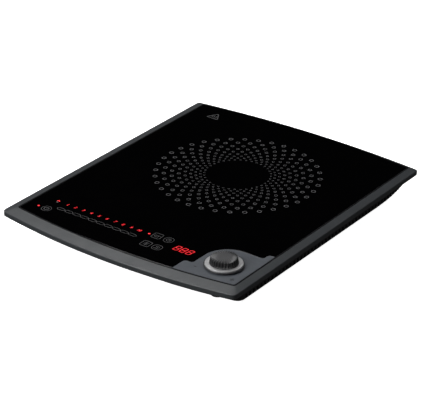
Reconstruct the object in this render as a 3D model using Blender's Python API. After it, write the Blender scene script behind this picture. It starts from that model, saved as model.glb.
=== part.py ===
"""Portable single-zone induction hob, built as an assembly of separate pieces.

Metres, +Z up, front towards -Y. The origin is under the middle of the outline,
on the surface that the rubber feet stand on.
"""

import math

import bmesh
import bpy
from mathutils import Matrix, Vector

# Outside of the appliance
BODY_WIDTH = 0.3214            # frame, left to right
BODY_DEPTH = 0.3745            # frame, along its straight sides
FRONT_BOW = 0.0152             # swell of the front edge beyond the corners
BACK_BOW = 0.0106              # swell of the back edge beyond the corners
OUTER_CORNERS = (0.0070, 0.0035)  # radii at the front and at the back
GLASS_TOP = 0.0460             # cooking surface above the table
FOOT_HEIGHT = 0.0050

# Play between neighbouring pieces
CLEARANCE = 0.0003
OVERCUT = 0.0010               # how far a cutter reaches past the faces that it cuts
GROOVE = 0.0007                # dark line between the frame and the glass

# Frame round the glass
SIDE_STRIP = 0.0104
FRONT_STRIP = 0.0148
BACK_STRIP = 0.0034
INNER_FRONT_BOW = 0.0129
INNER_CORNERS = (0.0030, 0.0030)
STRIP_DROP = 0.0017            # fall of the sloping strips towards the outside
EDGE_ROUND = 0.0009
LIP_HEIGHT = 0.0060
LEDGE_WIDTH = 0.0055           # shelf that carries the edge of the glass
SHELF_SPARE = 0.0020           # shelf beyond the tub's back wall
EAR_LENGTH = 0.0130

# Glass, its gasket and the control panel let into its corner
GLASS_THICKNESS = 0.0040
GLASS_CHAMFER = 0.0004
GASKET_THICKNESS = 0.0008
GASKET_WIDTH = 0.0030
PANEL_WIDTH = 0.0653
PANEL_LENGTH = 0.0666          # from the corner line of the frame's front strip
PANEL_RADIUS = 0.0300
PANEL_TAB = 0.0108             # step that runs on along the frame on either side
LEFT_TAB_LENGTH = 0.0137
BACK_TAB_WIDTH = 0.0095
TAB_RADIUS = 0.0040

# Rotary dial
DIAL_FROM_SIDE = 0.0447
DIAL_FROM_FRONT = 0.0434
SKIRT_RADIUS = 0.0225
SKIRT_THICKNESS = 0.0022
SKIRT_LIFT = 0.0018            # shadow gap under the bright ring
KNOB_RADIUS = 0.0162
KNOB_TOP_RADIUS = 0.0150
KNOB_HEIGHT = 0.0078
KNOB_NECK_RADIUS = 0.0140
KNOB_FLUTES = 28
FLUTE_DEPTH = 0.0006
KNOB_FOOT_EDGE = 0.0006        # broken edge at the foot of the flutes
KNOB_RIM = 0.0010              # rounding, then a flat rim of the same width, then the dished top
KNOB_DISH = 0.0003
SKIRT_EDGE = 0.0007
SOFT_EDGE = 0.0005             # broken edge of small inner pieces
HUB_RADIUS = 0.0060
SHAFT_RADIUS = 0.0030
ENCODER_SIZE = 0.0125
ENCODER_HEIGHT = 0.0060
ENCODER_BOARD = (0.0340, 0.0220)
ENCODER_FLOOR = 0.0010         # closed end of the encoder body under the shaft
PANEL_POST_RADIUS = 0.0027
PANEL_POST_LENGTH = 0.0085
PANEL_POST_INSET = 0.0040      # from the end of the encoder's board
PANEL_BORE_DEPTH = 0.0070
HUB_DROP = 0.0005              # how far the knob's hub reaches below the glass
SOCKET_DEPTH = 0.0030          # how far the shaft reaches above the skirt

# Base tub
TUB_WALL = 0.0022
FLOOR_THICKNESS = 0.0025
BAND_HEIGHT = 0.0066           # upright band under the frame's lip
SIDE_SLOPE = 0.0265            # how far the sides draw in down to the floor
FRONT_INSET = 0.0110
FRONT_SLOPE = 0.0380
BACK_INSET = 0.0044
HEEL_HEIGHT = 0.0080
TAPER_LENGTH = 0.0900          # end of each side that draws in towards the back
TAPER_RADIUS = 0.3600
TUB_FRONT_RADIUS = 0.0090
TUB_BACK_RADIUS = 0.0160
VENT_PITCH = 0.0070
VENT_WIDTH = 0.0038
VENT_HEIGHT = 0.0088
VENT_REACH = 0.0180
VENT_FROM_TOP = 0.0012
VENT_END_MARGIN = 0.0060
INNER_SLOPE_SHARE = 1.4        # wall measured level, over the wall, where the sides slope

# Fasteners and the posts that they run in
SCREW_RADIUS = 0.0015
SCREW_HEAD_RADIUS = 0.0031
SCREW_HEAD_HEIGHT = 0.0020
SMALL_SCREW_RADIUS = 0.0011
SMALL_HEAD_RADIUS = 0.0023
SMALL_HEAD_HEIGHT = 0.0014
POST_RADIUS = 0.0055
POST_FROM_EDGE = 0.0110
SMALL_POST_RADIUS = 0.0036
SCREW_RECESS = 0.0060
SMALL_BORE_DEPTH = 0.0090
SMALL_SCREW_GRIP = 0.0060      # thread in the post under a small screw
ENCODER_SCREW_GRIP = 0.0050
SCREW_END_GAP = 0.0005
FRONT_POST_FROM_FAN = 0.0150   # case posts: in front of the fan's middle,
MIDDLE_POST_FROM_ZONE = 0.0070 # in front of the zone's middle,
BACK_POST_FROM_FLOOR = 0.0175  # and in front of the floor's back edge
POST_SPACING = 0.0020          # least room between a post and what is beside it

# Rubber feet
FOOT_RADIUS = 0.0080
FOOT_NECK_RADIUS = 0.0022
FOOT_HEAD_RADIUS = 0.0034
FOOT_FROM_SIDE = 0.0345
FOOT_FROM_BACK = 0.0255
FOOT_FROM_FRONT = 0.0065
FOOT_BARB_HEIGHT = 0.0022
FOOT_SOFT_EDGE = 0.0006

# Induction coil and its stack under the glass
ZONE_FROM_BACK = 0.1417
COIL_RADIUS = 0.0840
COIL_HOLE_RADIUS = 0.0240
COIL_THICKNESS = 0.0042
MICA_RADIUS = 0.0860
MICA_THICKNESS = 0.0005
CARRIER_MARGIN = 0.0100
CARRIER_THICKNESS = 0.0024
CARRIER_HOLE_RADIUS = 0.0130
FERRITE_COUNT = 6
FERRITE_SIZE = (0.0580, 0.0120, 0.0046)
FERRITE_START = 0.0220
FERRITE_RADIUS = 0.0010        # rounding of a bar's corners
SENSOR_RADIUS = 0.0090
SENSOR_TAPER = 0.0030
SENSOR_SOFT_EDGE = 0.0012

# Cooling fan
FAN_SIZE = 0.0800
FAN_HEIGHT = 0.0200
FAN_CORNER_RADIUS = 0.0060
FAN_HUB_RADIUS = 0.0170
FAN_TIP_GAP = 0.0015
FAN_RIM = 0.0020
FAN_BLADES = 7
FAN_SHAFT_RADIUS = 0.0015
FAN_FROM_FOOT = 0.0050
FAN_PLATE = 0.0030             # hub plate and arms under the rotor
FAN_PLATE_LIFT = 0.0003
FAN_SEAT_FLOOR = 0.0010
FAN_ARMS = 3
FAN_ARM_SIZE = (0.0050, 0.0020)
ROTOR_GAP = 0.0006
ROTOR_DROP = 0.0010            # rotor's top below the housing's
ROTOR_CAP = 0.0040
BLADE_THICKNESS = 0.0014
BLADE_MARGINS = (0.0008, 0.0020)
# share of the tip radius, half chord, share of the full rise
BLADE_STATIONS = ((0.42, 0.0062, 1.00), (0.75, 0.0088, 0.85), (1.00, 0.0105, 0.70))
GRILLE_PITCH = 0.0080
GRILLE_SLOT = 0.0038

# Electronics
BOARD_THICKNESS = 0.0016
BOARD_RADIUS = 0.0020          # rounding of a board's corners
BOARD_POST_INSET = 0.0050
POWER_BOARD = (0.1350, 0.0880)
POWER_BOARD_LIFT = 0.0060
POWER_FROM_BRACKET = 0.0025
CONTROL_DEPTH = 0.0420
CONTROL_FROM_SIDE = 0.0190
CONTROL_FROM_FRONT = 0.0224
CONTROL_PAST_DISPLAY = 0.0113  # right end of the control board beyond the display's middle
CONTROL_GAP = 0.0042           # room between the control board and the glass
BRACKET_THICKNESS = 0.0022
BRACKET_MARGIN = 0.0020        # rim of the bracket round the board
BRACKET_POST_INSETS = (0.0217, 0.0123)
BRACKET_POST_FROM_FLOOR = 0.0002
MODULE_GAP = 0.0004            # between the display parts and the glass
DIGIT_ROW_FROM_FRONT = 0.0529
DISPLAY_FROM_SIDE = 0.0997
DISPLAY_BEHIND_DIGITS = -0.0075
DISPLAY_SIZE = (0.0290, 0.0120)
GUIDE_SIZE = (0.1140, 0.0070)
GUIDE_FROM_SIDE = 0.1034
FILM_BEFORE_DIGITS = 0.0127
FILM_DEPTH = 0.0100
FILM_THICKNESS = 0.0004
SINK_SIZE = (0.0700, 0.0420, 0.0140)
SINK_PLACE = (0.0430, 0.0560)  # middle, from the board's front left corner
SINK_FINS = 10
SINK_PLATE = 0.0035
SINK_FIN_SHARE = 0.5
TRANSISTOR_SIZE = (0.0160, 0.0210, 0.0048)
TRANSISTOR_FROM_SINK = -0.0180
RECTIFIER_SIZE = (0.0300, 0.0200, 0.0048)
RECTIFIER_FROM_SINK = 0.0160
CAPACITOR_SIZE = (0.0380, 0.0180, 0.0150)
CAPACITOR_FROM_RIGHT = 0.0300
CAPACITOR_ROWS = (("resonant_capacitor", 0.0660), ("smoothing_capacitor", 0.0430))
FRONT_ROW = 0.0170             # components along the board's front edge
TRANSFORMER_SIZE = (0.0200, 0.0170, 0.0150)
TRANSFORMER_PLACE = 0.0850
TERMINAL_SIZE = (0.0260, 0.0120, 0.0130)
TERMINAL_PLACE = 0.0240
CHOKE_PLACE = 0.0560
CHOKE_RADIUS = 0.0085
CHOKE_SECTION = 0.0045
FUSE_FROM_RIGHT = 0.0250
FUSE_RADIUS = 0.0026
FUSE_LENGTH = 0.0200

# Mains cord inlet
INLET_X = -0.0900
INLET_HEIGHT = 0.0215
INLET_RADIUS = 0.0063
INLET_BORE_RADIUS = 0.0038
INLET_FLANGE_RADIUS = 0.0085
CLAMP_SPAN = 0.0220
CLAMP_FROM_BACK = 0.0170
CLAMP_DEPTH = 0.0080
CLAMP_THICKNESS = 0.0030
CLAMP_POST_DIP = 0.0010        # how far the bar nips the cord
INLET_LIPS = (0.0020, 0.0030)  # inner and outer flange

# How finely the curves are divided
BOW_STEPS = 10
CORNER_STEPS = 4

# Places that follow from the sizes above
HALF_WIDTH = BODY_WIDTH / 2
FRONT_Y = (FRONT_BOW - BODY_DEPTH - BACK_BOW) / 2
BACK_Y = FRONT_Y + BODY_DEPTH
TUB_BACK_Y = BACK_Y - BACK_INSET
LIP_BOTTOM = GLASS_TOP - STRIP_DROP - LIP_HEIGHT
BAND_TOP = LIP_BOTTOM - CLEARANCE
BAND_BOTTOM = BAND_TOP - BAND_HEIGHT
FLOOR_BOTTOM = FOOT_HEIGHT
FLOOR_TOP = FLOOR_BOTTOM + FLOOR_THICKNESS
GLASS_BOTTOM = GLASS_TOP - GLASS_THICKNESS
LEDGE_TOP = GLASS_BOTTOM - GASKET_THICKNESS - 2 * CLEARANCE
FLOOR_HALF = HALF_WIDTH - SIDE_SLOPE
FLOOR_FRONT_Y = FRONT_Y + FRONT_INSET + FRONT_SLOPE
FLOOR_BACK_Y = TUB_BACK_Y - HEEL_HEIGHT
POST_X = FLOOR_HALF - POST_FROM_EDGE
FOOT_X = FLOOR_HALF - FOOT_FROM_SIDE
FOOT_FRONT_Y = FLOOR_FRONT_Y + FOOT_FROM_FRONT
FOOT_BACK_Y = FLOOR_BACK_Y - FOOT_FROM_BACK
DIAL_X = HALF_WIDTH - DIAL_FROM_SIDE
DIAL_Y = FRONT_Y + DIAL_FROM_FRONT
ZONE_Y = BACK_Y - ZONE_FROM_BACK
COIL_TOP = GLASS_BOTTOM - MICA_THICKNESS - 2 * CLEARANCE
CARRIER_TOP = COIL_TOP - COIL_THICKNESS - CLEARANCE
CARRIER_BOTTOM = CARRIER_TOP - CARRIER_THICKNESS
CARRIER_RADIUS = COIL_RADIUS + CARRIER_MARGIN
CARRIER_POST_CIRCLE = COIL_RADIUS + CARRIER_MARGIN / 2 + CLEARANCE
FAN_X = POST_RADIUS + FAN_SIZE / 2 + POST_SPACING - POST_X
FAN_Y = FOOT_FRONT_Y + FOOT_HEAD_RADIUS + FAN_SIZE / 2 + FAN_FROM_FOOT
FAN_BOTTOM = FLOOR_TOP + CLEARANCE
POWER_X = POST_X - POST_RADIUS - POST_SPACING - POWER_BOARD[0] / 2
BRACKET_Y = FLOOR_FRONT_Y + BRACKET_POST_FROM_FLOOR
POWER_Y = BRACKET_Y + SMALL_POST_RADIUS + POWER_BOARD[1] / 2 + POWER_FROM_BRACKET
POWER_BOTTOM = FLOOR_TOP + POWER_BOARD_LIFT
POWER_TOP = POWER_BOTTOM + BOARD_THICKNESS
DISPLAY_X = HALF_WIDTH - DISPLAY_FROM_SIDE
CONTROL_LEFT = CONTROL_FROM_SIDE - HALF_WIDTH
CONTROL_RIGHT = DISPLAY_X + CONTROL_PAST_DISPLAY
CONTROL_BOARD = (CONTROL_RIGHT - CONTROL_LEFT, CONTROL_DEPTH)
CONTROL_MIDDLE = ((CONTROL_LEFT + CONTROL_RIGHT) / 2, FRONT_Y + CONTROL_FROM_FRONT + CONTROL_DEPTH / 2)
CONTROL_TOP = GLASS_BOTTOM - CONTROL_GAP
BRACKET_TOP = CONTROL_TOP - BOARD_THICKNESS - CLEARANCE
BRACKET_BOTTOM = BRACKET_TOP - BRACKET_THICKNESS
DIGIT_Y = FRONT_Y + DIGIT_ROW_FROM_FRONT
ENCODER_BOARD_TOP = GLASS_BOTTOM - PANEL_POST_LENGTH - CLEARANCE
SKIRT_TOP = GLASS_TOP + SKIRT_LIFT + SKIRT_THICKNESS
KNOB_TOP = SKIRT_TOP + KNOB_HEIGHT
HUB_BOTTOM = GLASS_BOTTOM - HUB_DROP
SOCKET_TOP = SKIRT_TOP + SOCKET_DEPTH
CASE_POSTS = [
    (side * POST_X, y)
    for side in (-1, 1)
    for y in (
        FAN_Y - FRONT_POST_FROM_FAN,
        ZONE_Y - MIDDLE_POST_FROM_ZONE,
        FLOOR_BACK_Y - BACK_POST_FROM_FLOOR,
    )
]
CARRIER_POSTS = [
    (
        CARRIER_POST_CIRCLE * math.cos(math.radians(angle)),
        ZONE_Y + CARRIER_POST_CIRCLE * math.sin(math.radians(angle)),
    )
    for angle in (90, 210, 330)
]
BRACKET_POSTS = [
    (CONTROL_LEFT + BRACKET_POST_INSETS[0], BRACKET_Y),
    (CONTROL_RIGHT - BRACKET_POST_INSETS[1], BRACKET_Y),
]
BOARD_POSTS = [
    (
        POWER_X + sx * (POWER_BOARD[0] / 2 - BOARD_POST_INSET),
        POWER_Y + sy * (POWER_BOARD[1] / 2 - BOARD_POST_INSET),
    )
    for sx in (-1, 1)
    for sy in (-1, 1)
]
PANEL_POSTS = [(DIAL_X + side * (ENCODER_BOARD[0] / 2 - PANEL_POST_INSET), DIAL_Y) for side in (-1, 1)]
CLAMP_POSTS = [(INLET_X + s * CLAMP_SPAN / 2, TUB_BACK_Y - CLAMP_FROM_BACK) for s in (-1, 1)]
CLAMP_POST_TOP = INLET_HEIGHT + INLET_BORE_RADIUS - CLAMP_POST_DIP


# ---------------------------------------------------------------- materials

def finish(name, colour, roughness, metallic=0.0):
    """A plain Principled material."""
    material = bpy.data.materials.get(name)
    if material is None:
        material = bpy.data.materials.new(name)
        material.use_nodes = True
        shader = material.node_tree.nodes["Principled BSDF"]
        shader.inputs["Base Color"].default_value = (*colour, 1.0)
        shader.inputs["Roughness"].default_value = roughness
        shader.inputs["Metallic"].default_value = metallic
    return material


def frame_plastic():
    return finish("frame_plastic", (0.075, 0.083, 0.092), 0.42)


def tub_plastic():
    return finish("tub_plastic", (0.012, 0.012, 0.013), 0.55)


def black_glass():
    return finish("black_glass", (0.003, 0.003, 0.004), 0.06)


def panel_plastic():
    return finish("panel_plastic", (0.085, 0.090, 0.110), 0.40)


def knob_plastic():
    return finish("knob_plastic", (0.060, 0.060, 0.062), 0.38)


def satin_metal():
    return finish("satin_metal", (0.55, 0.55, 0.56), 0.28, 1.0)


def black_rubber():
    return finish("black_rubber", (0.015, 0.015, 0.015), 0.85)


def zinc_steel():
    return finish("zinc_steel", (0.60, 0.60, 0.58), 0.35, 1.0)


def circuit_board():
    return finish("circuit_board", (0.030, 0.140, 0.060), 0.45)


def copper():
    return finish("copper", (0.72, 0.34, 0.16), 0.40, 1.0)


def mica():
    return finish("mica", (0.70, 0.64, 0.52), 0.60)


def ferrite():
    return finish("ferrite", (0.030, 0.030, 0.034), 0.65)


def aluminium():
    return finish("aluminium", (0.72, 0.73, 0.74), 0.38, 1.0)


def moulded_black():
    return finish("moulded_black", (0.018, 0.018, 0.020), 0.48)


def white_plastic():
    return finish("white_plastic", (0.78, 0.77, 0.72), 0.50)


def film_yellow():
    return finish("film_yellow", (0.62, 0.43, 0.08), 0.45)


def red_lens():
    return finish("red_lens", (0.350, 0.010, 0.012), 0.30)


# ---------------------------------------------------------------- mesh tools

def rounded(corners, steps=CORNER_STEPS):
    """Turn (x, y, radius) corners into an outline with each corner drawn as an arc."""
    points = []
    for index, (x, y, radius) in enumerate(corners):
        corner = Vector((x, y))
        if radius <= 0:
            points.append((x, y))
            continue
        before = (Vector(corners[index - 1][:2]) - corner).normalized()
        after = (Vector(corners[(index + 1) % len(corners)][:2]) - corner).normalized()
        half = before.angle(after) / 2
        centre = corner + (before + after).normalized() * radius / math.sin(half)
        first = corner + before * radius / math.tan(half) - centre
        last = corner + after * radius / math.tan(half) - centre
        sweep = first.angle(last)
        for step in range(steps + 1):
            share = step / steps
            spoke = (first * math.sin((1 - share) * sweep) + last * math.sin(share * sweep)) / math.sin(sweep)
            points.append(tuple(centre + spoke))
    return points


def rectangle(centre, size, radius, steps=2):
    """Outline of a rectangle with rounded corners."""
    x, y = centre
    w, d = size[0] / 2, size[1] / 2
    corners = [(x - w, y - d), (x + w, y - d), (x + w, y + d), (x - w, y + d)]
    return rounded([(*corner, radius) for corner in corners], steps)


def circle(radius, count, flute=0.0):
    """Outline of a circle about the origin; every other point sinks by flute."""
    points = []
    for index in range(count):
        angle = 2 * math.pi * index / count
        reach = radius - flute * (index % 2)
        points.append((reach * math.cos(angle), reach * math.sin(angle)))
    return points


def loft(levels, closed=False):
    """Skin a stack of (outline, height) levels; its ends are capped, or joined when closed."""
    bm = bmesh.new()
    rings = [[bm.verts.new((x, y, z)) for x, y in outline] for outline, z in levels]
    pairs = list(zip(rings, rings[1:]))
    if closed:
        pairs.append((rings[-1], rings[0]))
    else:
        bm.faces.new(rings[0])
        bm.faces.new(rings[-1])
    for low, high in pairs:
        for index in range(len(low)):
            following = (index + 1) % len(low)
            bm.faces.new((low[index], low[following], high[following], high[index]))
    bmesh.ops.recalc_face_normals(bm, faces=bm.faces)
    return bm


def turned(profile, count, closed=False):
    """Turn a (radius, height) profile about the Z axis."""
    return loft([(circle(radius, count), z) for radius, z in profile], closed)


def add_box(bm, low, high):
    """Add a box between two corners."""
    size = Vector(high) - Vector(low)
    middle = (Vector(high) + Vector(low)) / 2
    matrix = Matrix.Translation(middle) @ Matrix.Diagonal((*size, 1.0))
    bmesh.ops.create_cube(bm, size=1.0, matrix=matrix)


def add_cylinder(bm, centre, radius, low, high, count=12):
    """Add an upright cylinder at centre between two heights."""
    matrix = Matrix.Translation((centre[0], centre[1], (low + high) / 2))
    bmesh.ops.create_cone(
        bm, cap_ends=True, segments=count, radius1=radius, radius2=radius, depth=high - low, matrix=matrix
    )


def place(name, bm, material, location=(0.0, 0.0, 0.0), smooth=True):
    """Make one named object from a bmesh."""
    mesh = bpy.data.meshes.new(name)
    bm.to_mesh(mesh)
    bm.free()
    mesh.materials.append(material)
    obj = bpy.data.objects.new(name, mesh)
    obj.location = location
    bpy.context.scene.collection.objects.link(obj)
    if smooth:
        mesh.shade_smooth()
        mesh.set_sharp_from_angle(angle=math.radians(35))
    return obj


def combine(obj, bm, operation):
    """Join, cut or trim an object with a second shape."""
    tool = place("tool", bm, obj.data.materials[0], obj.location, smooth=False)
    modifier = obj.modifiers.new(operation, "BOOLEAN")
    modifier.operation = operation
    modifier.solver = "EXACT"
    modifier.object = tool
    bpy.context.view_layer.update()
    evaluated = obj.evaluated_get(bpy.context.evaluated_depsgraph_get())
    mesh = bpy.data.meshes.new_from_object(evaluated)
    obj.modifiers.clear()
    obj.data = mesh
    mesh.shade_smooth()
    mesh.set_sharp_from_angle(angle=math.radians(35))
    bpy.data.objects.remove(tool)


# ---------------------------------------------------------------- plan outlines

def frame_plan(side, front, back, front_bow=FRONT_BOW, back_bow=BACK_BOW, corners=OUTER_CORNERS):
    """Outline inside the frame's outer edge by the given strips, with bowed ends."""
    half = HALF_WIDTH - side
    ends = [(FRONT_Y + front, -front_bow, 1, corners[0]), (BACK_Y - back, back_bow, -1, corners[1])]
    outline = []
    for edge, bow, direction, radius in ends:
        for step in range(BOW_STEPS + 1):
            share = direction * (2 * step / BOW_STEPS - 1)
            corner = radius if step in (0, BOW_STEPS) else 0.0
            outline.append((half * share, edge + bow * (1 - share**2), corner))
    return rounded(outline)


def glass_plan(inset=0.0):
    """Outline of the glass, with the panel's corner still in it."""
    return frame_plan(
        SIDE_STRIP + GROOVE + inset, FRONT_STRIP + GROOVE + inset, BACK_STRIP + GROOVE + inset,
        INNER_FRONT_BOW, BACK_BOW, INNER_CORNERS,
    )


def panel_plan(grow=0.0):
    """Outline of the control panel, running on past the corner of the frame."""
    left = HALF_WIDTH - SIDE_STRIP - PANEL_WIDTH - grow
    back = FRONT_Y + FRONT_STRIP + PANEL_LENGTH + grow
    tab_left = left - PANEL_TAB
    tab_front = FRONT_Y + FRONT_STRIP + LEFT_TAB_LENGTH + grow
    tab_right = HALF_WIDTH - SIDE_STRIP - BACK_TAB_WIDTH - grow
    tab_back = back + PANEL_TAB
    outside = HALF_WIDTH + PANEL_TAB
    front = FRONT_Y - FRONT_BOW - PANEL_TAB
    return rounded([
        (tab_left, front, 0.0),
        (outside, front, 0.0),
        (outside, tab_back, 0.0),
        (tab_right, tab_back, TAB_RADIUS + grow),
        (tab_right, back, TAB_RADIUS - grow),
        (left, back, PANEL_RADIUS + grow),
        (left, tab_front, TAB_RADIUS - grow),
        (tab_left, tab_front, TAB_RADIUS + grow),
    ], steps=6)


def tub_plan(z, wall=0.0):
    """Outline of the tub at a height, drawn in by the wall thickness."""
    fall = min(1.0, max(0.0, (BAND_BOTTOM - z) / (BAND_BOTTOM - FLOOR_BOTTOM)))
    level_wall = wall * (INNER_SLOPE_SHARE if fall > 0 else 1.0)
    half = HALF_WIDTH - CLEARANCE - SIDE_SLOPE * fall - level_wall
    front = FRONT_Y + FRONT_INSET + FRONT_SLOPE * fall + level_wall
    back = TUB_BACK_Y - max(0.0, FLOOR_BOTTOM + HEEL_HEIGHT - z) - wall
    right = [(half, front, TUB_FRONT_RADIUS)]
    for share in (0.0, 0.2, 0.4, 0.6):
        along = TAPER_LENGTH * share
        right.append((half - along**2 / (2 * TAPER_RADIUS), BACK_Y - TAPER_LENGTH + along, 0.0))
    end = back - BACK_Y + TAPER_LENGTH
    right.append((half - end**2 / (2 * TAPER_RADIUS), back, TUB_BACK_RADIUS))
    left = [(-x, y, radius) for x, y, radius in reversed(right)]
    bowed = []
    for step in range(1, BOW_STEPS):
        share = 2 * step / BOW_STEPS - 1
        bowed.append((half * share, front - FRONT_BOW * (1 - share**2), 0.0))
    return rounded(right + left + bowed)


# ---------------------------------------------------------------- casing

def make_base_tub():
    """Vented lower shell with its screw posts, grille and cord hole."""
    heights = [BAND_TOP, BAND_BOTTOM, FLOOR_BOTTOM + HEEL_HEIGHT, FLOOR_BOTTOM]
    outer = [(tub_plan(z), z) for z in heights]
    heights[-1] = FLOOR_TOP
    inner = [(tub_plan(z, TUB_WALL), z) for z in reversed(heights)]
    tub = place("base_tub", loft(outer[::-1] + inner[::-1]), tub_plastic())
    combine(tub, tub_posts(), "UNION")
    combine(tub, tub_holes(), "DIFFERENCE")
    combine(tub, tub_vents(), "DIFFERENCE")


def tub_posts():
    """Every post that stands on the floor."""
    bm = bmesh.new()
    root = FLOOR_BOTTOM + FLOOR_THICKNESS / 2
    for post in CASE_POSTS:
        add_cylinder(bm, post, POST_RADIUS, root, BAND_TOP, 16)
    for post in CARRIER_POSTS:
        add_cylinder(bm, post, SMALL_POST_RADIUS, root, CARRIER_BOTTOM - CLEARANCE)
    for post in BRACKET_POSTS:
        add_cylinder(bm, post, SMALL_POST_RADIUS, root, BRACKET_BOTTOM - CLEARANCE)
    for post in BOARD_POSTS:
        add_cylinder(bm, post, SMALL_POST_RADIUS, root, POWER_BOTTOM - CLEARANCE)
    for post in CLAMP_POSTS:
        add_cylinder(bm, post, SMALL_POST_RADIUS, root, CLAMP_POST_TOP)
    return bm


def tub_holes():
    """Screw holes, foot holes, the fan grille and the hole for the cord inlet."""
    bm = bmesh.new()
    below = FLOOR_BOTTOM - CLEARANCE
    for post in CASE_POSTS:
        add_cylinder(bm, post, SCREW_HEAD_RADIUS + CLEARANCE, below, FLOOR_BOTTOM + SCREW_RECESS)
    for posts, top in (
        (CARRIER_POSTS, CARRIER_BOTTOM),
        (BRACKET_POSTS, BRACKET_BOTTOM),
        (CLAMP_POSTS, CLAMP_POST_TOP),
    ):
        for post in posts:
            add_cylinder(bm, post, SMALL_SCREW_RADIUS + CLEARANCE, top - SMALL_BORE_DEPTH, top + CLEARANCE, 8)
    for sx in (-1, 1):
        for y in (FOOT_FRONT_Y, FOOT_BACK_Y):
            hole = FOOT_NECK_RADIUS + CLEARANCE
            add_cylinder(bm, (sx * FOOT_X, y), hole, below, FLOOR_TOP + CLEARANCE)
    reach = FAN_SIZE / 2 - FAN_RIM - GRILLE_SLOT
    rows = int(reach / GRILLE_PITCH)
    for row in range(-rows, rows + 1):
        x = row * GRILLE_PITCH
        half = math.sqrt(reach**2 - x**2)
        low = (FAN_X + x - GRILLE_SLOT / 2, FAN_Y - half, below)
        high = (FAN_X + x + GRILLE_SLOT / 2, FAN_Y + half, FLOOR_TOP + CLEARANCE)
        add_box(bm, low, high)
    matrix = Matrix.Translation((INLET_X, TUB_BACK_Y, INLET_HEIGHT)) @ Matrix.Rotation(math.pi / 2, 4, "X")
    bmesh.ops.create_cone(
        bm, cap_ends=True, segments=16, radius1=INLET_RADIUS, radius2=INLET_RADIUS,
        depth=4 * TUB_WALL, matrix=matrix,
    )
    return bm


def tub_vents():
    """The rows of upright slots along both sides, and the screw bores of the case posts."""
    bm = bmesh.new()
    top = BAND_TOP - VENT_FROM_TOP
    start = FRONT_Y + FRONT_INSET + TUB_FRONT_RADIUS
    end = TUB_BACK_Y - TUB_BACK_RADIUS - VENT_END_MARGIN
    count = int((end - start - VENT_WIDTH) / VENT_PITCH) + 1
    for index in range(count):
        y = start + index * VENT_PITCH
        for side in (-1, 1):
            edges = sorted((side * (HALF_WIDTH - VENT_REACH), side * (HALF_WIDTH + CLEARANCE)))
            add_box(bm, (edges[0], y, top - VENT_HEIGHT), (edges[1], y + VENT_WIDTH, top))
    for post in CASE_POSTS:
        bore = SCREW_RADIUS + CLEARANCE
        add_cylinder(bm, post, bore, FLOOR_BOTTOM + SCREW_RECESS - OVERCUT, BAND_TOP + CLEARANCE, 8)
    return bm


def make_top_frame():
    """Sloping surround with its lip, the glass shelf and the screw ears."""
    shelf_back = BACK_INSET + TUB_WALL + SHELF_SPARE
    shelf = frame_plan(
        SIDE_STRIP + LEDGE_WIDTH, FRONT_STRIP + LEDGE_WIDTH, shelf_back, FRONT_BOW, 0.0, INNER_CORNERS
    )
    groove = frame_plan(SIDE_STRIP, FRONT_STRIP, BACK_STRIP, INNER_FRONT_BOW, BACK_BOW, INNER_CORNERS)
    outside = frame_plan(0.0, 0.0, 0.0)
    shoulder = frame_plan(EDGE_ROUND, EDGE_ROUND, EDGE_ROUND)
    foot = frame_plan(EDGE_ROUND / 2, EDGE_ROUND / 2, EDGE_ROUND / 2)
    bm = loft([
        (groove, GLASS_TOP - CLEARANCE),
        (shoulder, GLASS_TOP - STRIP_DROP),
        (outside, GLASS_TOP - STRIP_DROP - EDGE_ROUND),
        (outside, LIP_BOTTOM + EDGE_ROUND / 2),
        (foot, LIP_BOTTOM),
        (shelf, LIP_BOTTOM),
        (shelf, LEDGE_TOP),
        (groove, LEDGE_TOP),
    ], closed=True)
    frame = place("top_frame", bm, frame_plastic())
    ears = bmesh.new()
    holes = bmesh.new()
    for x, y in CASE_POSTS:
        side = math.copysign(1.0, x)
        edges = sorted((side * (POST_X - POST_RADIUS), side * (HALF_WIDTH - SIDE_STRIP - LEDGE_WIDTH / 2)))
        low = (edges[0], y - EAR_LENGTH / 2, LIP_BOTTOM + CLEARANCE / 3)
        add_box(ears, low, (edges[1], y + EAR_LENGTH / 2, LEDGE_TOP - CLEARANCE / 3))
        add_cylinder(holes, (x, y), SCREW_RADIUS + CLEARANCE, LIP_BOTTOM - OVERCUT, LEDGE_TOP + OVERCUT, 8)
    combine(frame, ears, "UNION")
    combine(frame, holes, "DIFFERENCE")


def make_glass_top():
    """Black glass with its edge broken and a corner cut out for the panel."""
    bm = loft([
        (glass_plan(), GLASS_BOTTOM),
        (glass_plan(), GLASS_TOP - GLASS_CHAMFER),
        (glass_plan(GLASS_CHAMFER), GLASS_TOP),
    ])
    glass = place("glass_top", bm, black_glass())
    cutter = loft([(panel_plan(CLEARANCE), z) for z in (GLASS_BOTTOM - OVERCUT, GLASS_TOP + OVERCUT)])
    combine(glass, cutter, "DIFFERENCE")


def make_glass_gasket():
    """Silicone strip that beds the glass and the panel on the frame's shelf."""
    outer = glass_plan(CLEARANCE)
    inner = glass_plan(CLEARANCE + GASKET_WIDTH)
    low = LEDGE_TOP + CLEARANCE
    high = low + GASKET_THICKNESS
    bm = loft([(outer, low), (outer, high), (inner, high), (inner, low)], closed=True)
    place("glass_gasket", bm, black_rubber())


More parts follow.
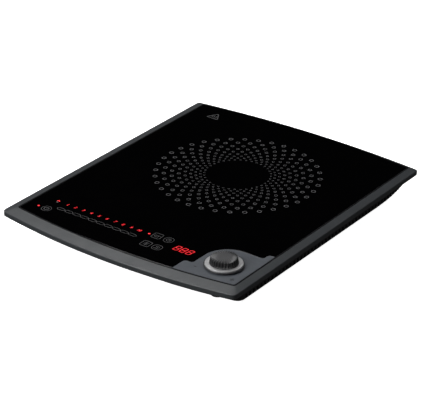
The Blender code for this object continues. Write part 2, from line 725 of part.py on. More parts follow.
def make_knob_panel():
    """Plastic corner panel with the dial's hole and two posts under it."""
    bm = loft([
        (glass_plan(), GLASS_BOTTOM),
        (glass_plan(), GLASS_TOP - GLASS_CHAMFER),
        (glass_plan(GLASS_CHAMFER), GLASS_TOP),
    ])
    panel = place("knob_panel", bm, panel_plastic())
    keep = loft([(panel_plan(), z) for z in (GLASS_BOTTOM - OVERCUT, GLASS_TOP + OVERCUT)])
    combine(panel, keep, "INTERSECT")
    posts = bmesh.new()
    holes = bmesh.new()
    foot = GLASS_BOTTOM - PANEL_POST_LENGTH
    for centre in PANEL_POSTS:
        add_cylinder(posts, centre, PANEL_POST_RADIUS, foot, GLASS_BOTTOM + OVERCUT)
        bore = SMALL_SCREW_RADIUS + CLEARANCE
        add_cylinder(holes, centre, bore, foot - CLEARANCE, foot + PANEL_BORE_DEPTH, 8)
    combine(panel, posts, "UNION")
    bore = HUB_RADIUS + CLEARANCE
    add_cylinder(holes, (DIAL_X, DIAL_Y), bore, GLASS_BOTTOM - OVERCUT, GLASS_TOP + OVERCUT, 24)
    combine(panel, holes, "DIFFERENCE")


def make_feet():
    """Four push-in rubber feet."""
    shank = FLOOR_BOTTOM - CLEARANCE
    head = FLOOR_TOP + CLEARANCE
    profile = [
        (FOOT_RADIUS - FOOT_SOFT_EDGE, 0.0),
        (FOOT_RADIUS, FOOT_SOFT_EDGE),
        (FOOT_RADIUS, shank - FOOT_SOFT_EDGE),
        (FOOT_RADIUS - FOOT_SOFT_EDGE, shank),
        (FOOT_NECK_RADIUS, shank),
        (FOOT_NECK_RADIUS, head),
        (FOOT_HEAD_RADIUS, head),
        (FOOT_NECK_RADIUS * 0.6, head + FOOT_BARB_HEIGHT),
    ]
    spots = [(side * FOOT_X, y) for y in (FOOT_FRONT_Y, FOOT_BACK_Y) for side in (-1, 1)]
    for number, (x, y) in enumerate(spots, 1):
        place(f"rubber_foot_{number}", turned(profile, 16), black_rubber(), (x, y, 0.0))


# ---------------------------------------------------------------- fasteners

def screw(name, spot, head_face, length, head_radius, radius, head_height, upward):
    """Pan-head screw whose head face is at head_face, pointing up or down."""
    sign = 1 if upward else -1
    profile = [
        (head_radius * 0.7, 0.0),
        (head_radius, head_height * 0.45),
        (head_radius, head_height),
        (radius, head_height),
        (radius, head_height + length * 0.85),
        (radius * 0.4, head_height + length),
    ]
    bm = turned([(r, sign * z) for r, z in profile], 8)
    place(name, bm, zinc_steel(), (*spot, head_face))


def make_screws():
    """Case screws from below; small screws for the carrier, bracket, clamp and encoder board."""
    recess = FLOOR_BOTTOM + SCREW_RECESS - CLEARANCE - SCREW_HEAD_HEIGHT
    reach = LEDGE_TOP - SCREW_END_GAP - recess - SCREW_HEAD_HEIGHT
    for number, spot in enumerate(CASE_POSTS, 1):
        size = (SCREW_HEAD_RADIUS, SCREW_RADIUS, SCREW_HEAD_HEIGHT)
        screw(f"case_screw_{number}", spot, recess, reach, *size, upward=True)
    small = (SMALL_HEAD_RADIUS, SMALL_SCREW_RADIUS, SMALL_HEAD_HEIGHT)
    groups = (
        ("carrier_screw", CARRIER_POSTS, CARRIER_TOP, CARRIER_THICKNESS),
        ("bracket_screw", BRACKET_POSTS, BRACKET_TOP, BRACKET_THICKNESS),
        ("clamp_screw", CLAMP_POSTS, CLAMP_POST_TOP + CLEARANCE + CLAMP_THICKNESS, CLAMP_THICKNESS),
    )
    for name, spots, seat, grip in groups:
        for number, spot in enumerate(spots, 1):
            face = seat + CLEARANCE + SMALL_HEAD_HEIGHT
            screw(f"{name}_{number}", spot, face, grip + SMALL_SCREW_GRIP, *small, upward=False)
    face = ENCODER_BOARD_TOP - BOARD_THICKNESS - CLEARANCE - SMALL_HEAD_HEIGHT
    length = BOARD_THICKNESS + ENCODER_SCREW_GRIP
    for number, spot in enumerate(PANEL_POSTS, 1):
        screw(f"encoder_screw_{number}", spot, face, length, *small, upward=True)


# ---------------------------------------------------------------- dial

def make_dial():
    """Fluted knob and the bright skirt ring under it, both on the dial's axis."""
    count = 2 * KNOB_FLUTES
    socket = SHAFT_RADIUS + CLEARANCE
    plain = [
        (socket, SOCKET_TOP),
        (socket, HUB_BOTTOM),
        (HUB_RADIUS, HUB_BOTTOM),
        (HUB_RADIUS, GLASS_TOP + SKIRT_LIFT),
        (KNOB_NECK_RADIUS, GLASS_TOP + SKIRT_LIFT),
        (KNOB_NECK_RADIUS, SKIRT_TOP + CLEARANCE),
    ]
    levels = [(circle(radius, count), z) for radius, z in plain]
    foot = SKIRT_TOP + CLEARANCE
    slope = (KNOB_RADIUS - KNOB_TOP_RADIUS) / KNOB_HEIGHT
    levels.append((circle(KNOB_RADIUS - KNOB_FOOT_EDGE / 2, count, FLUTE_DEPTH), foot))
    levels.append((circle(KNOB_RADIUS, count, FLUTE_DEPTH), foot + KNOB_FOOT_EDGE))
    high = KNOB_TOP - 1.4 * KNOB_RIM
    levels.append((circle(KNOB_RADIUS - slope * (high - foot), count, FLUTE_DEPTH), high))
    for inset, drop in ((0.2, 0.6 * KNOB_RIM), (1.0, 0.0), (2.2, 0.0), (2.8, KNOB_DISH)):
        levels.append((circle(KNOB_TOP_RADIUS - inset * KNOB_RIM, count), KNOB_TOP - drop))
    place("dial_knob", loft(levels), knob_plastic(), (DIAL_X, DIAL_Y, 0.0))

    low = GLASS_TOP + SKIRT_LIFT
    hole = KNOB_NECK_RADIUS + CLEARANCE
    profile = [
        (hole, low),
        (SKIRT_RADIUS - SKIRT_EDGE, low),
        (SKIRT_RADIUS, low + SKIRT_EDGE),
        (SKIRT_RADIUS, SKIRT_TOP - SKIRT_EDGE),
        (SKIRT_RADIUS - SKIRT_EDGE, SKIRT_TOP),
        (hole, SKIRT_TOP),
    ]
    place("knob_skirt", turned(profile, 48, closed=True), satin_metal(), (DIAL_X, DIAL_Y, 0.0))


def make_encoder():
    """Rotary encoder: board, body with its bore, and the shaft that the knob sits on."""
    board_low = ENCODER_BOARD_TOP - BOARD_THICKNESS
    outline = rectangle((DIAL_X, DIAL_Y), ENCODER_BOARD, BOARD_RADIUS / 2)
    levels = [(outline, board_low), (outline, ENCODER_BOARD_TOP)]
    board = place("encoder_board", loft(levels), circuit_board())
    holes = bmesh.new()
    for centre in PANEL_POSTS:
        bore = SMALL_SCREW_RADIUS + CLEARANCE
        add_cylinder(holes, centre, bore, board_low - OVERCUT, ENCODER_BOARD_TOP + OVERCUT, 8)
    combine(board, holes, "DIFFERENCE")

    low = ENCODER_BOARD_TOP + CLEARANCE
    outline = rectangle((DIAL_X, DIAL_Y), (ENCODER_SIZE, ENCODER_SIZE), SOFT_EDGE)
    body = place("encoder_body", loft([(outline, low), (outline, low + ENCODER_HEIGHT)]), zinc_steel())
    bore = bmesh.new()
    seat = low + ENCODER_FLOOR
    end = low + ENCODER_HEIGHT + OVERCUT
    add_cylinder(bore, (DIAL_X, DIAL_Y), SHAFT_RADIUS + CLEARANCE, seat, end, 16)
    combine(body, bore, "DIFFERENCE")

    start = seat + CLEARANCE
    end = SOCKET_TOP - CLEARANCE
    profile = [(SHAFT_RADIUS, start), (SHAFT_RADIUS, end - SOFT_EDGE), (SHAFT_RADIUS - SOFT_EDGE, end)]
    place("encoder_shaft", turned(profile, 16), satin_metal(), (DIAL_X, DIAL_Y, 0.0))


# ---------------------------------------------------------------- coil stack

def make_coil_stack():
    """Mica sheet, flat winding, carrier, ferrite bars and the pan sensor."""
    centre = (0.0, ZONE_Y, 0.0)
    top = GLASS_BOTTOM - CLEARANCE
    sheet = turned([(MICA_RADIUS, top - MICA_THICKNESS), (MICA_RADIUS, top)], 36)
    place("mica_sheet", sheet, mica(), centre)

    low = COIL_TOP - COIL_THICKNESS
    soft = COIL_THICKNESS / 4
    profile = [
        (COIL_HOLE_RADIUS, low + soft),
        (COIL_HOLE_RADIUS + soft, low),
        (COIL_RADIUS - soft, low),
        (COIL_RADIUS, low + soft),
        (COIL_RADIUS, COIL_TOP - soft),
        (COIL_RADIUS - soft, COIL_TOP),
        (COIL_HOLE_RADIUS + soft, COIL_TOP),
        (COIL_HOLE_RADIUS, COIL_TOP - soft),
    ]
    place("induction_coil", turned(profile, 36, closed=True), copper(), centre)

    profile = [
        (CARRIER_HOLE_RADIUS, CARRIER_BOTTOM),
        (CARRIER_RADIUS, CARRIER_BOTTOM),
        (CARRIER_RADIUS, CARRIER_TOP),
        (CARRIER_HOLE_RADIUS, CARRIER_TOP),
    ]
    carrier = place("coil_carrier", turned(profile, 36, closed=True), white_plastic(), centre)
    holes = bmesh.new()
    for x, y in CARRIER_POSTS:
        bore = SMALL_SCREW_RADIUS + CLEARANCE
        add_cylinder(holes, (x, y - ZONE_Y), bore, CARRIER_BOTTOM - OVERCUT, CARRIER_TOP + OVERCUT, 8)
    combine(carrier, holes, "DIFFERENCE")

    length, width, height = FERRITE_SIZE
    top = CARRIER_BOTTOM - CLEARANCE
    outline = rectangle((FERRITE_START + length / 2, 0.0), (length, width), FERRITE_RADIUS)
    for number in range(FERRITE_COUNT):
        solid = loft([(outline, top - height), (outline, top)])
        bar = place(f"ferrite_bar_{number + 1}", solid, ferrite(), centre)
        bar.rotation_euler.z = 2 * math.pi * number / FERRITE_COUNT

    profile = [
        (SENSOR_RADIUS - SENSOR_TAPER, CARRIER_BOTTOM),
        (SENSOR_RADIUS, CARRIER_BOTTOM + SENSOR_TAPER / 3),
        (SENSOR_RADIUS, COIL_TOP - SENSOR_SOFT_EDGE),
        (SENSOR_RADIUS - SENSOR_SOFT_EDGE, COIL_TOP),
    ]
    place("sensor_holder", turned(profile, 20), white_plastic(), centre)


# ---------------------------------------------------------------- fan

def make_fan():
    """Axial fan: square housing with three arms, bladed rotor and its steel shaft."""
    centre = (FAN_X, FAN_Y, 0.0)
    top = FAN_BOTTOM + FAN_HEIGHT
    bore = FAN_SIZE / 2 - FAN_RIM
    outline = rectangle((0.0, 0.0), (FAN_SIZE, FAN_SIZE), FAN_CORNER_RADIUS)
    housing = place("fan_housing", loft([(outline, FAN_BOTTOM), (outline, top)]), moulded_black(), centre)
    hole = bmesh.new()
    add_cylinder(hole, (0.0, 0.0), bore, FAN_BOTTOM - OVERCUT, top + OVERCUT, 32)
    combine(housing, hole, "DIFFERENCE")
    plate = FAN_BOTTOM + FAN_PLATE
    hub = bmesh.new()
    add_cylinder(hub, (0.0, 0.0), FAN_HUB_RADIUS - OVERCUT, FAN_BOTTOM + FAN_PLATE_LIFT, plate, 20)
    combine(housing, fan_arms(bore, plate), "UNION")
    combine(housing, hub, "UNION")
    seat = bmesh.new()
    floor = FAN_BOTTOM + FAN_SEAT_FLOOR
    add_cylinder(seat, (0.0, 0.0), FAN_SHAFT_RADIUS + CLEARANCE, floor, plate + OVERCUT, 10)
    combine(housing, seat, "DIFFERENCE")

    low = plate + ROTOR_GAP
    high = top - ROTOR_DROP
    soft = ROTOR_CAP * 0.3
    profile = [
        (FAN_SHAFT_RADIUS + CLEARANCE, high - ROTOR_CAP),
        (FAN_SHAFT_RADIUS + CLEARANCE, low),
        (FAN_HUB_RADIUS, low),
        (FAN_HUB_RADIUS, high - soft),
        (FAN_HUB_RADIUS - soft, high),
    ]
    rotor = place("fan_rotor", turned(profile, 28), moulded_black(), centre)
    blades = fan_blades(bore - FAN_TIP_GAP, low + BLADE_MARGINS[0], high - BLADE_MARGINS[1])
    combine(rotor, blades, "UNION")

    profile = [
        (FAN_SHAFT_RADIUS, floor + CLEARANCE),
        (FAN_SHAFT_RADIUS, high - ROTOR_CAP - CLEARANCE),
    ]
    place("fan_shaft", turned(profile, 10), satin_metal(), centre)


def fan_arms(bore, plate):
    """Arms from the housing's wall to its middle, clear of each other."""
    bm = bmesh.new()
    start = FAN_HUB_RADIUS * 0.76
    length = bore + OVERCUT * 0.8 - start
    for number in range(FAN_ARMS):
        turn = Matrix.Rotation(2 * math.pi * number / FAN_ARMS, 4, "Z")
        arm = bmesh.ops.create_cube(bm, size=1.0)["verts"]
        shape = Matrix.Translation((start + length / 2, 0.0, (FAN_BOTTOM + plate) / 2))
        shape = turn @ shape @ Matrix.Diagonal((length, *FAN_ARM_SIZE, 1.0))
        bmesh.ops.transform(bm, matrix=shape, verts=arm)
    return bm


def fan_blades(tip, low, high):
    """Twisted blades, each a plate that is steeper at the root than at the tip."""
    bm = bmesh.new()
    middle = (low + high) / 2
    rise = (high - low) / 2
    half_thickness = BLADE_THICKNESS / 2
    section = ((-1, -1), (1, -1), (1, 1), (-1, 1))
    for number in range(FAN_BLADES):
        turn = Matrix.Rotation(2 * math.pi * number / FAN_BLADES, 4, "Z")
        rings = []
        for reach, half_chord, share in BLADE_STATIONS:
            radius = tip * reach
            ring = []
            for along, up in section:
                angle = along * half_chord / radius
                height = middle + along * rise * share + up * half_thickness
                point = Vector((radius * math.cos(angle), radius * math.sin(angle), height))
                ring.append(bm.verts.new(turn @ point))
            rings.append(ring)
        bm.faces.new(rings[0])
        bm.faces.new(rings[-1])
        for inner, outer in zip(rings, rings[1:]):
            for index in range(4):
                following = (index + 1) % 4
                bm.faces.new((inner[index], inner[following], outer[following], outer[index]))
    bmesh.ops.recalc_face_normals(bm, faces=bm.faces)
    return bm


# ---------------------------------------------------------------- electronics

def block(name, centre, size, low, material):
    """Moulded block with rounded corners and a soft top edge."""
    top = low + size[2]
    outline = rectangle(centre, size[:2], 2 * SOFT_EDGE)
    inner = rectangle(centre, [side - 2 * SOFT_EDGE for side in size[:2]], SOFT_EDGE)
    bm = loft([(outline, low), (outline, top - SOFT_EDGE), (inner, top)])
    return place(name, bm, material)


def drilled_board(name, centre, size, low, thickness, spots, bore, material):
    """Flat board with a clearance hole over each post."""
    outline = rectangle(centre, size, BOARD_RADIUS)
    board = place(name, loft([(outline, low), (outline, low + thickness)]), material)
    holes = bmesh.new()
    for spot in spots:
        add_cylinder(holes, spot, bore + CLEARANCE, low - OVERCUT, low + thickness + OVERCUT, 8)
    combine(board, holes, "DIFFERENCE")


def make_control_unit():
    """Control board under the glass with its bracket, display, light guide and touch film."""
    size = [side + 2 * BRACKET_MARGIN for side in CONTROL_BOARD]
    drilled_board(
        "display_bracket", CONTROL_MIDDLE, size, BRACKET_BOTTOM, BRACKET_THICKNESS,
        BRACKET_POSTS, SMALL_SCREW_RADIUS, moulded_black(),
    )
    drilled_board(
        "control_board", CONTROL_MIDDLE, CONTROL_BOARD, CONTROL_TOP - BOARD_THICKNESS, BOARD_THICKNESS,
        BRACKET_POSTS, SMALL_HEAD_RADIUS, circuit_board(),
    )
    low = CONTROL_TOP + CLEARANCE
    height = CONTROL_GAP - 3 * CLEARANCE - MODULE_GAP
    spot = (DISPLAY_X, DIGIT_Y + DISPLAY_BEHIND_DIGITS)
    block("display_module", spot, (*DISPLAY_SIZE, height), low, red_lens())
    guide_x = GUIDE_FROM_SIDE - HALF_WIDTH
    block("digit_light_guide", (guide_x, DIGIT_Y), (*GUIDE_SIZE, height), low, red_lens())
    film_centre = (guide_x, DIGIT_Y - FILM_BEFORE_DIGITS)
    outline = rectangle(film_centre, (GUIDE_SIZE[0], FILM_DEPTH), BOARD_RADIUS / 2)
    film_top = GLASS_BOTTOM - CLEARANCE
    place("touch_film", loft([(outline, film_top - FILM_THICKNESS), (outline, film_top)]), film_yellow())


def make_power_unit():
    """Power board with its heat sink, switching devices and larger components."""
    drilled_board(
        "power_board", (POWER_X, POWER_Y), POWER_BOARD, POWER_BOTTOM, BOARD_THICKNESS,
        BOARD_POSTS, SMALL_SCREW_RADIUS, circuit_board(),
    )
    left = POWER_X - POWER_BOARD[0] / 2
    right = POWER_X + POWER_BOARD[0] / 2
    front = POWER_Y - POWER_BOARD[1] / 2
    low = POWER_TOP + CLEARANCE
    sink_x = left + SINK_PLACE[0]
    sink_y = front + SINK_PLACE[1]
    make_heat_sink((sink_x, sink_y), low + TRANSISTOR_SIZE[2] + CLEARANCE)
    black = moulded_black()
    block("power_transistor", (sink_x + TRANSISTOR_FROM_SINK, sink_y), TRANSISTOR_SIZE, low, black)
    block("bridge_rectifier", (sink_x + RECTIFIER_FROM_SINK, sink_y), RECTIFIER_SIZE, low, black)
    film = film_yellow()
    for name, place_y in CAPACITOR_ROWS:
        block(name, (right - CAPACITOR_FROM_RIGHT, front + place_y), CAPACITOR_SIZE, low, film)
    row = front + FRONT_ROW
    block("standby_transformer", (left + TRANSFORMER_PLACE, row), TRANSFORMER_SIZE, low, film)
    block("terminal_block", (left + TERMINAL_PLACE, row), TERMINAL_SIZE, low, white_plastic())
    make_choke((left + CHOKE_PLACE, row, low))
    make_fuse((right - FUSE_FROM_RIGHT, row, low))


def make_choke(spot):
    """Ring-shaped choke that lies flat on the power board."""
    profile = []
    for step in range(8):
        angle = 2 * math.pi * step / 8
        radius = CHOKE_RADIUS + CHOKE_SECTION * math.cos(angle)
        profile.append((radius, CHOKE_SECTION * (1 + math.sin(angle)) + CLEARANCE))
    place("choke_ring", turned(profile, 20, closed=True), copper(), spot)


def make_fuse(spot):
    """Glass-bodied fuse that lies along the power board's depth."""
    tube = bmesh.new()
    bmesh.ops.create_cone(
        tube, cap_ends=True, segments=12, radius1=FUSE_RADIUS, radius2=FUSE_RADIUS, depth=FUSE_LENGTH,
        matrix=Matrix.Rotation(math.pi / 2, 4, "X"),
    )
    x, y, low = spot
    place("mains_fuse", tube, white_plastic(), (x, y, low + FUSE_RADIUS))


def make_heat_sink(centre, low):
    """Extruded heat sink with upright fins that run along the air stream."""
    width, depth, height = SINK_SIZE
    pitch = width / SINK_FINS
    top = low + height
    base = low + SINK_PLATE
    left = -width / 2
    profile = [(left, low), (left + width, low)]
    for fin in reversed(range(SINK_FINS)):
        outer = left + pitch * (fin + 0.5 + SINK_FIN_SHARE / 2)
        inner = left + pitch * (fin + 0.5 - SINK_FIN_SHARE / 2)
        if fin == SINK_FINS - 1:
            outer = left + width
        if fin == 0:
            inner = left
        profile += [(outer, base)] if fin < SINK_FINS - 1 else []
        profile += [(outer, top), (inner, top)]
        profile += [(inner, base)] if fin > 0 else []
    bm = bmesh.new()
    ends = []
    for y in (-depth / 2, depth / 2):
        ends.append([bm.verts.new((centre[0] + x, centre[1] + y, z)) for x, z in profile])
    bm.faces.new(ends[0])
    bm.faces.new(ends[1])
    for index in range(len(profile)):
        following = (index + 1) % len(profile)
        bm.faces.new((ends[0][index], ends[0][following], ends[1][following], ends[1][index]))
    bmesh.ops.recalc_face_normals(bm, faces=bm.faces)
    place("heat_sink", bm, aluminium(), smooth=False)


# ---------------------------------------------------------------- cord inlet

def make_cord_inlet():
    """Rubber bush in the back wall, and the clamp bar behind it."""
    outside = TUB_WALL / 2 + CLEARANCE
    waist = INLET_RADIUS - CLEARANCE
    inner_lip, outer_lip = INLET_LIPS
    soft = outer_lip / 3
    profile = [
        (INLET_BORE_RADIUS, -outside - inner_lip),
        (INLET_FLANGE_RADIUS - soft, -outside - inner_lip),
        (INLET_FLANGE_RADIUS - soft, -outside),
        (waist, -outside),
        (waist, outside),
        (INLET_FLANGE_RADIUS, outside),
        (INLET_FLANGE_RADIUS - soft, outside + outer_lip),
        (INLET_BORE_RADIUS + soft, outside + outer_lip),
        (INLET_BORE_RADIUS, outside + outer_lip - soft),
    ]
    bm = turned(profile, 20, closed=True)
    bush = place("cord_inlet", bm, black_rubber(), (INLET_X, TUB_BACK_Y - TUB_WALL / 2, INLET_HEIGHT))
    bush.rotation_euler.x = -math.pi / 2

    middle = (INLET_X, TUB_BACK_Y - CLAMP_FROM_BACK)
    size = (CLAMP_SPAN + CLAMP_DEPTH, CLAMP_DEPTH)
    drilled_board(
        "cord_clamp", middle, size, CLAMP_POST_TOP + CLEARANCE, CLAMP_THICKNESS,
        CLAMP_POSTS, SMALL_SCREW_RADIUS, white_plastic(),
    )


def main():
    for obj in list(bpy.data.objects):
        bpy.data.objects.remove(obj)
    make_base_tub()
    make_top_frame()
    make_glass_top()
    make_glass_gasket()
    make_knob_panel()
    make_feet()
    make_screws()
    make_dial()
    make_encoder()
    make_coil_stack()
    make_fan()
    make_control_unit()
    make_power_unit()
    make_cord_inlet()
    bpy.context.view_layer.update()


main()
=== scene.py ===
"""Portable induction hob: its finished surfaces, print, lamps and stage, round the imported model.

Lengths are metres, +Z is up and the front of the hob faces -Y, as in the frame.
"""

import math

import bmesh
import bpy
from bpy.props import FloatProperty, FloatVectorProperty, IntProperty, PointerProperty
from mathutils import Matrix, Vector


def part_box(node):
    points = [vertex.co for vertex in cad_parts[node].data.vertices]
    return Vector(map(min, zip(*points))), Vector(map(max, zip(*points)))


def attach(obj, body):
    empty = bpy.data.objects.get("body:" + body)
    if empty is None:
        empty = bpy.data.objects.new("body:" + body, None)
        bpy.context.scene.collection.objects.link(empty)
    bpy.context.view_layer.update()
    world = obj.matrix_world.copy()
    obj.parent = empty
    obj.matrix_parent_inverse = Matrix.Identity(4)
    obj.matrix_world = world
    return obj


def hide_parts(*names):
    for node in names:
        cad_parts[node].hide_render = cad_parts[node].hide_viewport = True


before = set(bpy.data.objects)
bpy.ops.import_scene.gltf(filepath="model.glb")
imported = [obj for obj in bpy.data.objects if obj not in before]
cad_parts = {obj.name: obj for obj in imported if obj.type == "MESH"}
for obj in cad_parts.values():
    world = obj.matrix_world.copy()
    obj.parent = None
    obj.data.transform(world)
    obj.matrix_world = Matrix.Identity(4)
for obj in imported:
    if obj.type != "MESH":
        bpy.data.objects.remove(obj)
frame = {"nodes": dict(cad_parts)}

bl_info = {
    "name": "Induction hob finish",
    "version": (1, 0, 0),
    "blender": (4, 5, 0),
    "location": "3D View > Sidebar > Hob",
    "description": "Builds the visible surfaces of a portable induction hob round its frame",
    "category": "Object",
}

# ---------------------------------------------------------------- places read from the frame

FRAME_LOW, FRAME_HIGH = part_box("top_frame")
GLASS_LOW, GLASS_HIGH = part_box("glass_top")
GASKET_LOW, GASKET_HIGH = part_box("glass_gasket")
PANEL_LOW, PANEL_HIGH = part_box("knob_panel")
SKIRT_LOW, SKIRT_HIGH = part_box("knob_skirt")
KNOB_LOW, KNOB_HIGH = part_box("dial_knob")
COIL_LOW, COIL_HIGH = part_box("induction_coil")
SHAFT_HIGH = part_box("encoder_shaft")[1]

DIAL = (SKIRT_LOW + SKIRT_HIGH) / 2
ZONE = (COIL_LOW + COIL_HIGH) / 2
TOP = GLASS_HIGH.z
HALF = FRAME_HIGH.x
CASE_SCREWS = [f"case_screw_{number}" for number in range(1, 7)]
FEET = [f"rubber_foot_{number}" for number in range(1, 5)]
TUB_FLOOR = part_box("base_tub")[0].z

# ---------------------------------------------------------------- sizes of the pieces

INK = 0.00004                  # thickness of the print on the glass
CLEARANCE = 0.0003             # gap between neighbouring pieces
OVERCUT = 0.001                # how far a cutting shape runs past what it cuts

SHELF = 0.0055                 # width of the shelf under the edge of the glass
SHELF_BACK = 0.0086
EAR_HALF = 0.0055              # the frame's ears that take the case screws
EAR_WIDTH = 0.0130
EAR_INSET = 0.0001
EAR_HOLE = 0.0018
SEAL_LAP = 0.0011              # how far the seal reaches in over the line of the glass
SEAL_DEPTH = 0.0002            # top of the seal below the glass
SEAL_PLAY = 0.0001             # lap of the seal and its neighbours
GASKET_WIDTH = 0.0030

PANEL_SHOULDER = 0.0137        # left tab's depth behind the front strip
BACK_TAB_WIDTH = 0.0095
TAB_RADIUS = 0.0040
PANEL_BORE = 0.0063
PLATE_EDGE = 0.0004            # broken edge of the glass and of the panel
POST_RADIUS = 0.0027           # the panel's posts for the encoder, and their screw holes
POST_HOLE = 0.0014
POST_HOLE_DEPTH = 0.0070
MINUS = (0.0012, 0.0017)       # line width and half length of the mark
PLUS = (0.0019, 0.0025)
MARK_SPAN = 0.0243             # printed marks on either side of the dial
MARK_DROP = 0.0194

DOT_HOLE = 0.64                # hole of a printed dot over its outer radius
HOT_SIGN = (-0.1165, 0.3470)
KEY_HALF = 0.0056              # half the size of a printed key
KEY_LINE = 0.00055
FINE_LINE = 0.00045
BOLD_LINE = 0.0008
POWER_RADIUS = 0.0058
SLIDER_PITCH = 0.0113
SLIDER_FLAT = 0.0036
SLIDER_HALF = 0.0022
SLIDER_START = (-0.1076, 0.0376)
FIGURE_START = -0.1082
FIGURE_SIZE = 0.0056
FIGURE_PITCH = 0.01132
DISPLAY_MIDDLE = (0.0610, 0.0426)
DISPLAY_PITCH = 0.0085
DISPLAY_FIGURE = (0.0060, 0.0098, 0.16, 0.0008)  # width, height, slant and bar of a figure
COIL_INNER = 0.0240            # inner radius of the winding

# ---------------------------------------------------------------- stage

FLOOR_HALF = 9.0
FLOOR_GLOW = 1.0
HORIZON = 0.40                 # brightness of the backdrop at the horizon, above it and below it
SKY = 0.004
GROUND = 0.06
VIEW_AZIMUTH = math.radians(35.48)
VIEW_ELEVATION = math.radians(27.18)
VIEW_ROLL = math.radians(0.81)
VIEW_DISTANCE = 2.3008
VIEW_SHIFT = (-0.00428, -0.02186)
VIEW_LENS = 167.56


def length_property(name, description, default, least):
    return FloatProperty(
        name=name, description=description, default=default, min=least, unit="LENGTH", precision=4
    )


class HobSizes(bpy.types.PropertyGroup):
    """Sizes of the visible pieces that a user may want to change."""

    groove: length_property("Groove", "Dark gap between the frame and the glass", 0.0007, 0.0002)
    front_bow: length_property(
        "Front bow", "Swell of the frame's front edge beyond its corners", 0.0152, 0.0
    )
    back_bow: length_property("Back bow", "Swell of the frame's back edge beyond its corners", 0.0106, 0.0)
    inner_bow: length_property(
        "Inner front bow", "Swell of the glass's front edge beyond its corners", 0.0129, 0.0
    )
    front_corner: length_property("Front corner", "Rounding of the frame's front corners", 0.0070, 0.001)
    back_corner: length_property("Back corner", "Rounding of the frame's back corners", 0.0035, 0.001)
    inner_radius: length_property("Inner corner radius", "Rounding of the glass's corners", 0.0030, 0.001)
    strip_drop: length_property(
        "Strip drop", "Fall of the frame's sloping strips towards the outside", 0.0017, 0.0
    )
    edge_round: length_property("Edge rounding", "Radius along the frame's outer edge", 0.0009, 0.0002)
    panel_radius: length_property(
        "Panel radius", "Large rounding of the corner panel behind the dial", 0.0300, 0.005
    )
    panel_tab: length_property(
        "Panel tab", "Step that carries the corner panel on along the frame", 0.0108, 0.002
    )
    dot_rings: IntProperty(
        name="Dot rings", description="Printed rings of the cooking zone", default=9, min=1, max=20,
    )
    dots_per_ring: IntProperty(
        name="Dots per ring", description="Printed dots in each ring", default=36, min=3, max=90,
    )
    zone_radius: length_property("Zone radius", "Radius of the outermost ring of dots", 0.0966, 0.02)
    ring_ratio: FloatProperty(
        name="Ring ratio", description="Radius of each ring over the radius of the next one inside it",
        default=1.1195, min=1.01, precision=4,
    )
    dot_share: FloatProperty(
        name="Dot size", description="Radius of a dot as a share of its ring's radius",
        default=0.0305, min=0.005, max=0.08, precision=4,
    )
    flutes: IntProperty(
        name="Flutes", description="Grip flutes round the dial", default=28, min=6, max=72,
    )
    flute_depth: length_property("Flute depth", "Depth of the dial's flutes at their foot", 0.0013, 0.0001)
    coil_turns: IntProperty(
        name="Coil turns", description="Turns in each layer of the flat coil", default=26, min=4, max=60,
    )


def colour_property(name, description, default):
    return FloatVectorProperty(
        name=name, description=description, default=default, subtype="COLOR", size=3, min=0.0, max=1.0
    )


class HobColours(bpy.types.PropertyGroup):
    """Colours of the visible finishes, scene linear."""

    frame: colour_property("Frame", "Anthracite plastic of the frame", (0.034, 0.037, 0.040))
    panel: colour_property("Panel", "Blue-grey plastic of the corner panel", (0.061, 0.067, 0.077))
    tub: colour_property("Tub", "Black plastic of the lower shell", (0.008, 0.008, 0.009))
    glass: colour_property("Glass", "Black glass of the plate", (0.0003, 0.0003, 0.0004))
    print: colour_property("Print", "Grey print on the glass", (0.075, 0.075, 0.077))
    knob: colour_property("Knob", "Satin grey of the dial", (0.050, 0.050, 0.052))
    ring: colour_property("Ring", "Bright ring under the dial", (0.520, 0.520, 0.525))
    lamp: colour_property("Lamp", "Red of the lamps and figures", (0.900, 0.020, 0.030))


# ---------------------------------------------------------------- node trees

def node(tree, kind, values=None, **settings):
    """Add a node, set its options, and link or set its inputs by name or number."""
    made = tree.nodes.new(kind)
    for key, value in settings.items():
        setattr(made, key, value)
    for key, value in (values or {}).items():
        if isinstance(value, bpy.types.NodeSocket):
            tree.links.new(value, made.inputs[key])
        else:
            made.inputs[key].default_value = value
    return made


def maths(tree, operation, first, second=0.0):
    return node(tree, "ShaderNodeMath", {0: first, 1: second}, operation=operation).outputs[0]


def points_at(tree, count, position):
    return node(tree, "GeometryNodePoints", {"Count": count, "Position": position}).outputs[0]


def copies_on(tree, points, shape, values=None):
    """Instances of a shape on points."""
    inputs = {"Points": points, "Instance": shape, **(values or {})}
    return node(tree, "GeometryNodeInstanceOnPoints", inputs).outputs[0]


def new_geometry_tree(name, sockets):
    """Geometry tree with named inputs; returns it with its input and output nodes."""
    tree = bpy.data.node_groups.new(name, "GeometryNodeTree")
    tree.interface.new_socket("Geometry", in_out="INPUT", socket_type="NodeSocketGeometry")
    tree.interface.new_socket("Geometry", in_out="OUTPUT", socket_type="NodeSocketGeometry")
    for label, kind in sockets:
        tree.interface.new_socket(label, in_out="INPUT", socket_type=f"NodeSocket{kind}")
    return tree, tree.nodes.new("NodeGroupInput").outputs, tree.nodes.new("NodeGroupOutput")


def finish_tree(tree, geometry, given, output):
    """Close a geometry tree: real geometry with its material set."""
    real = node(tree, "GeometryNodeRealizeInstances", {"Geometry": geometry})
    values = {"Geometry": real.outputs[0], "Material": given["Material"]}
    done = node(tree, "GeometryNodeSetMaterial", values)
    tree.links.new(done.outputs[0], output.inputs[0])
    return tree


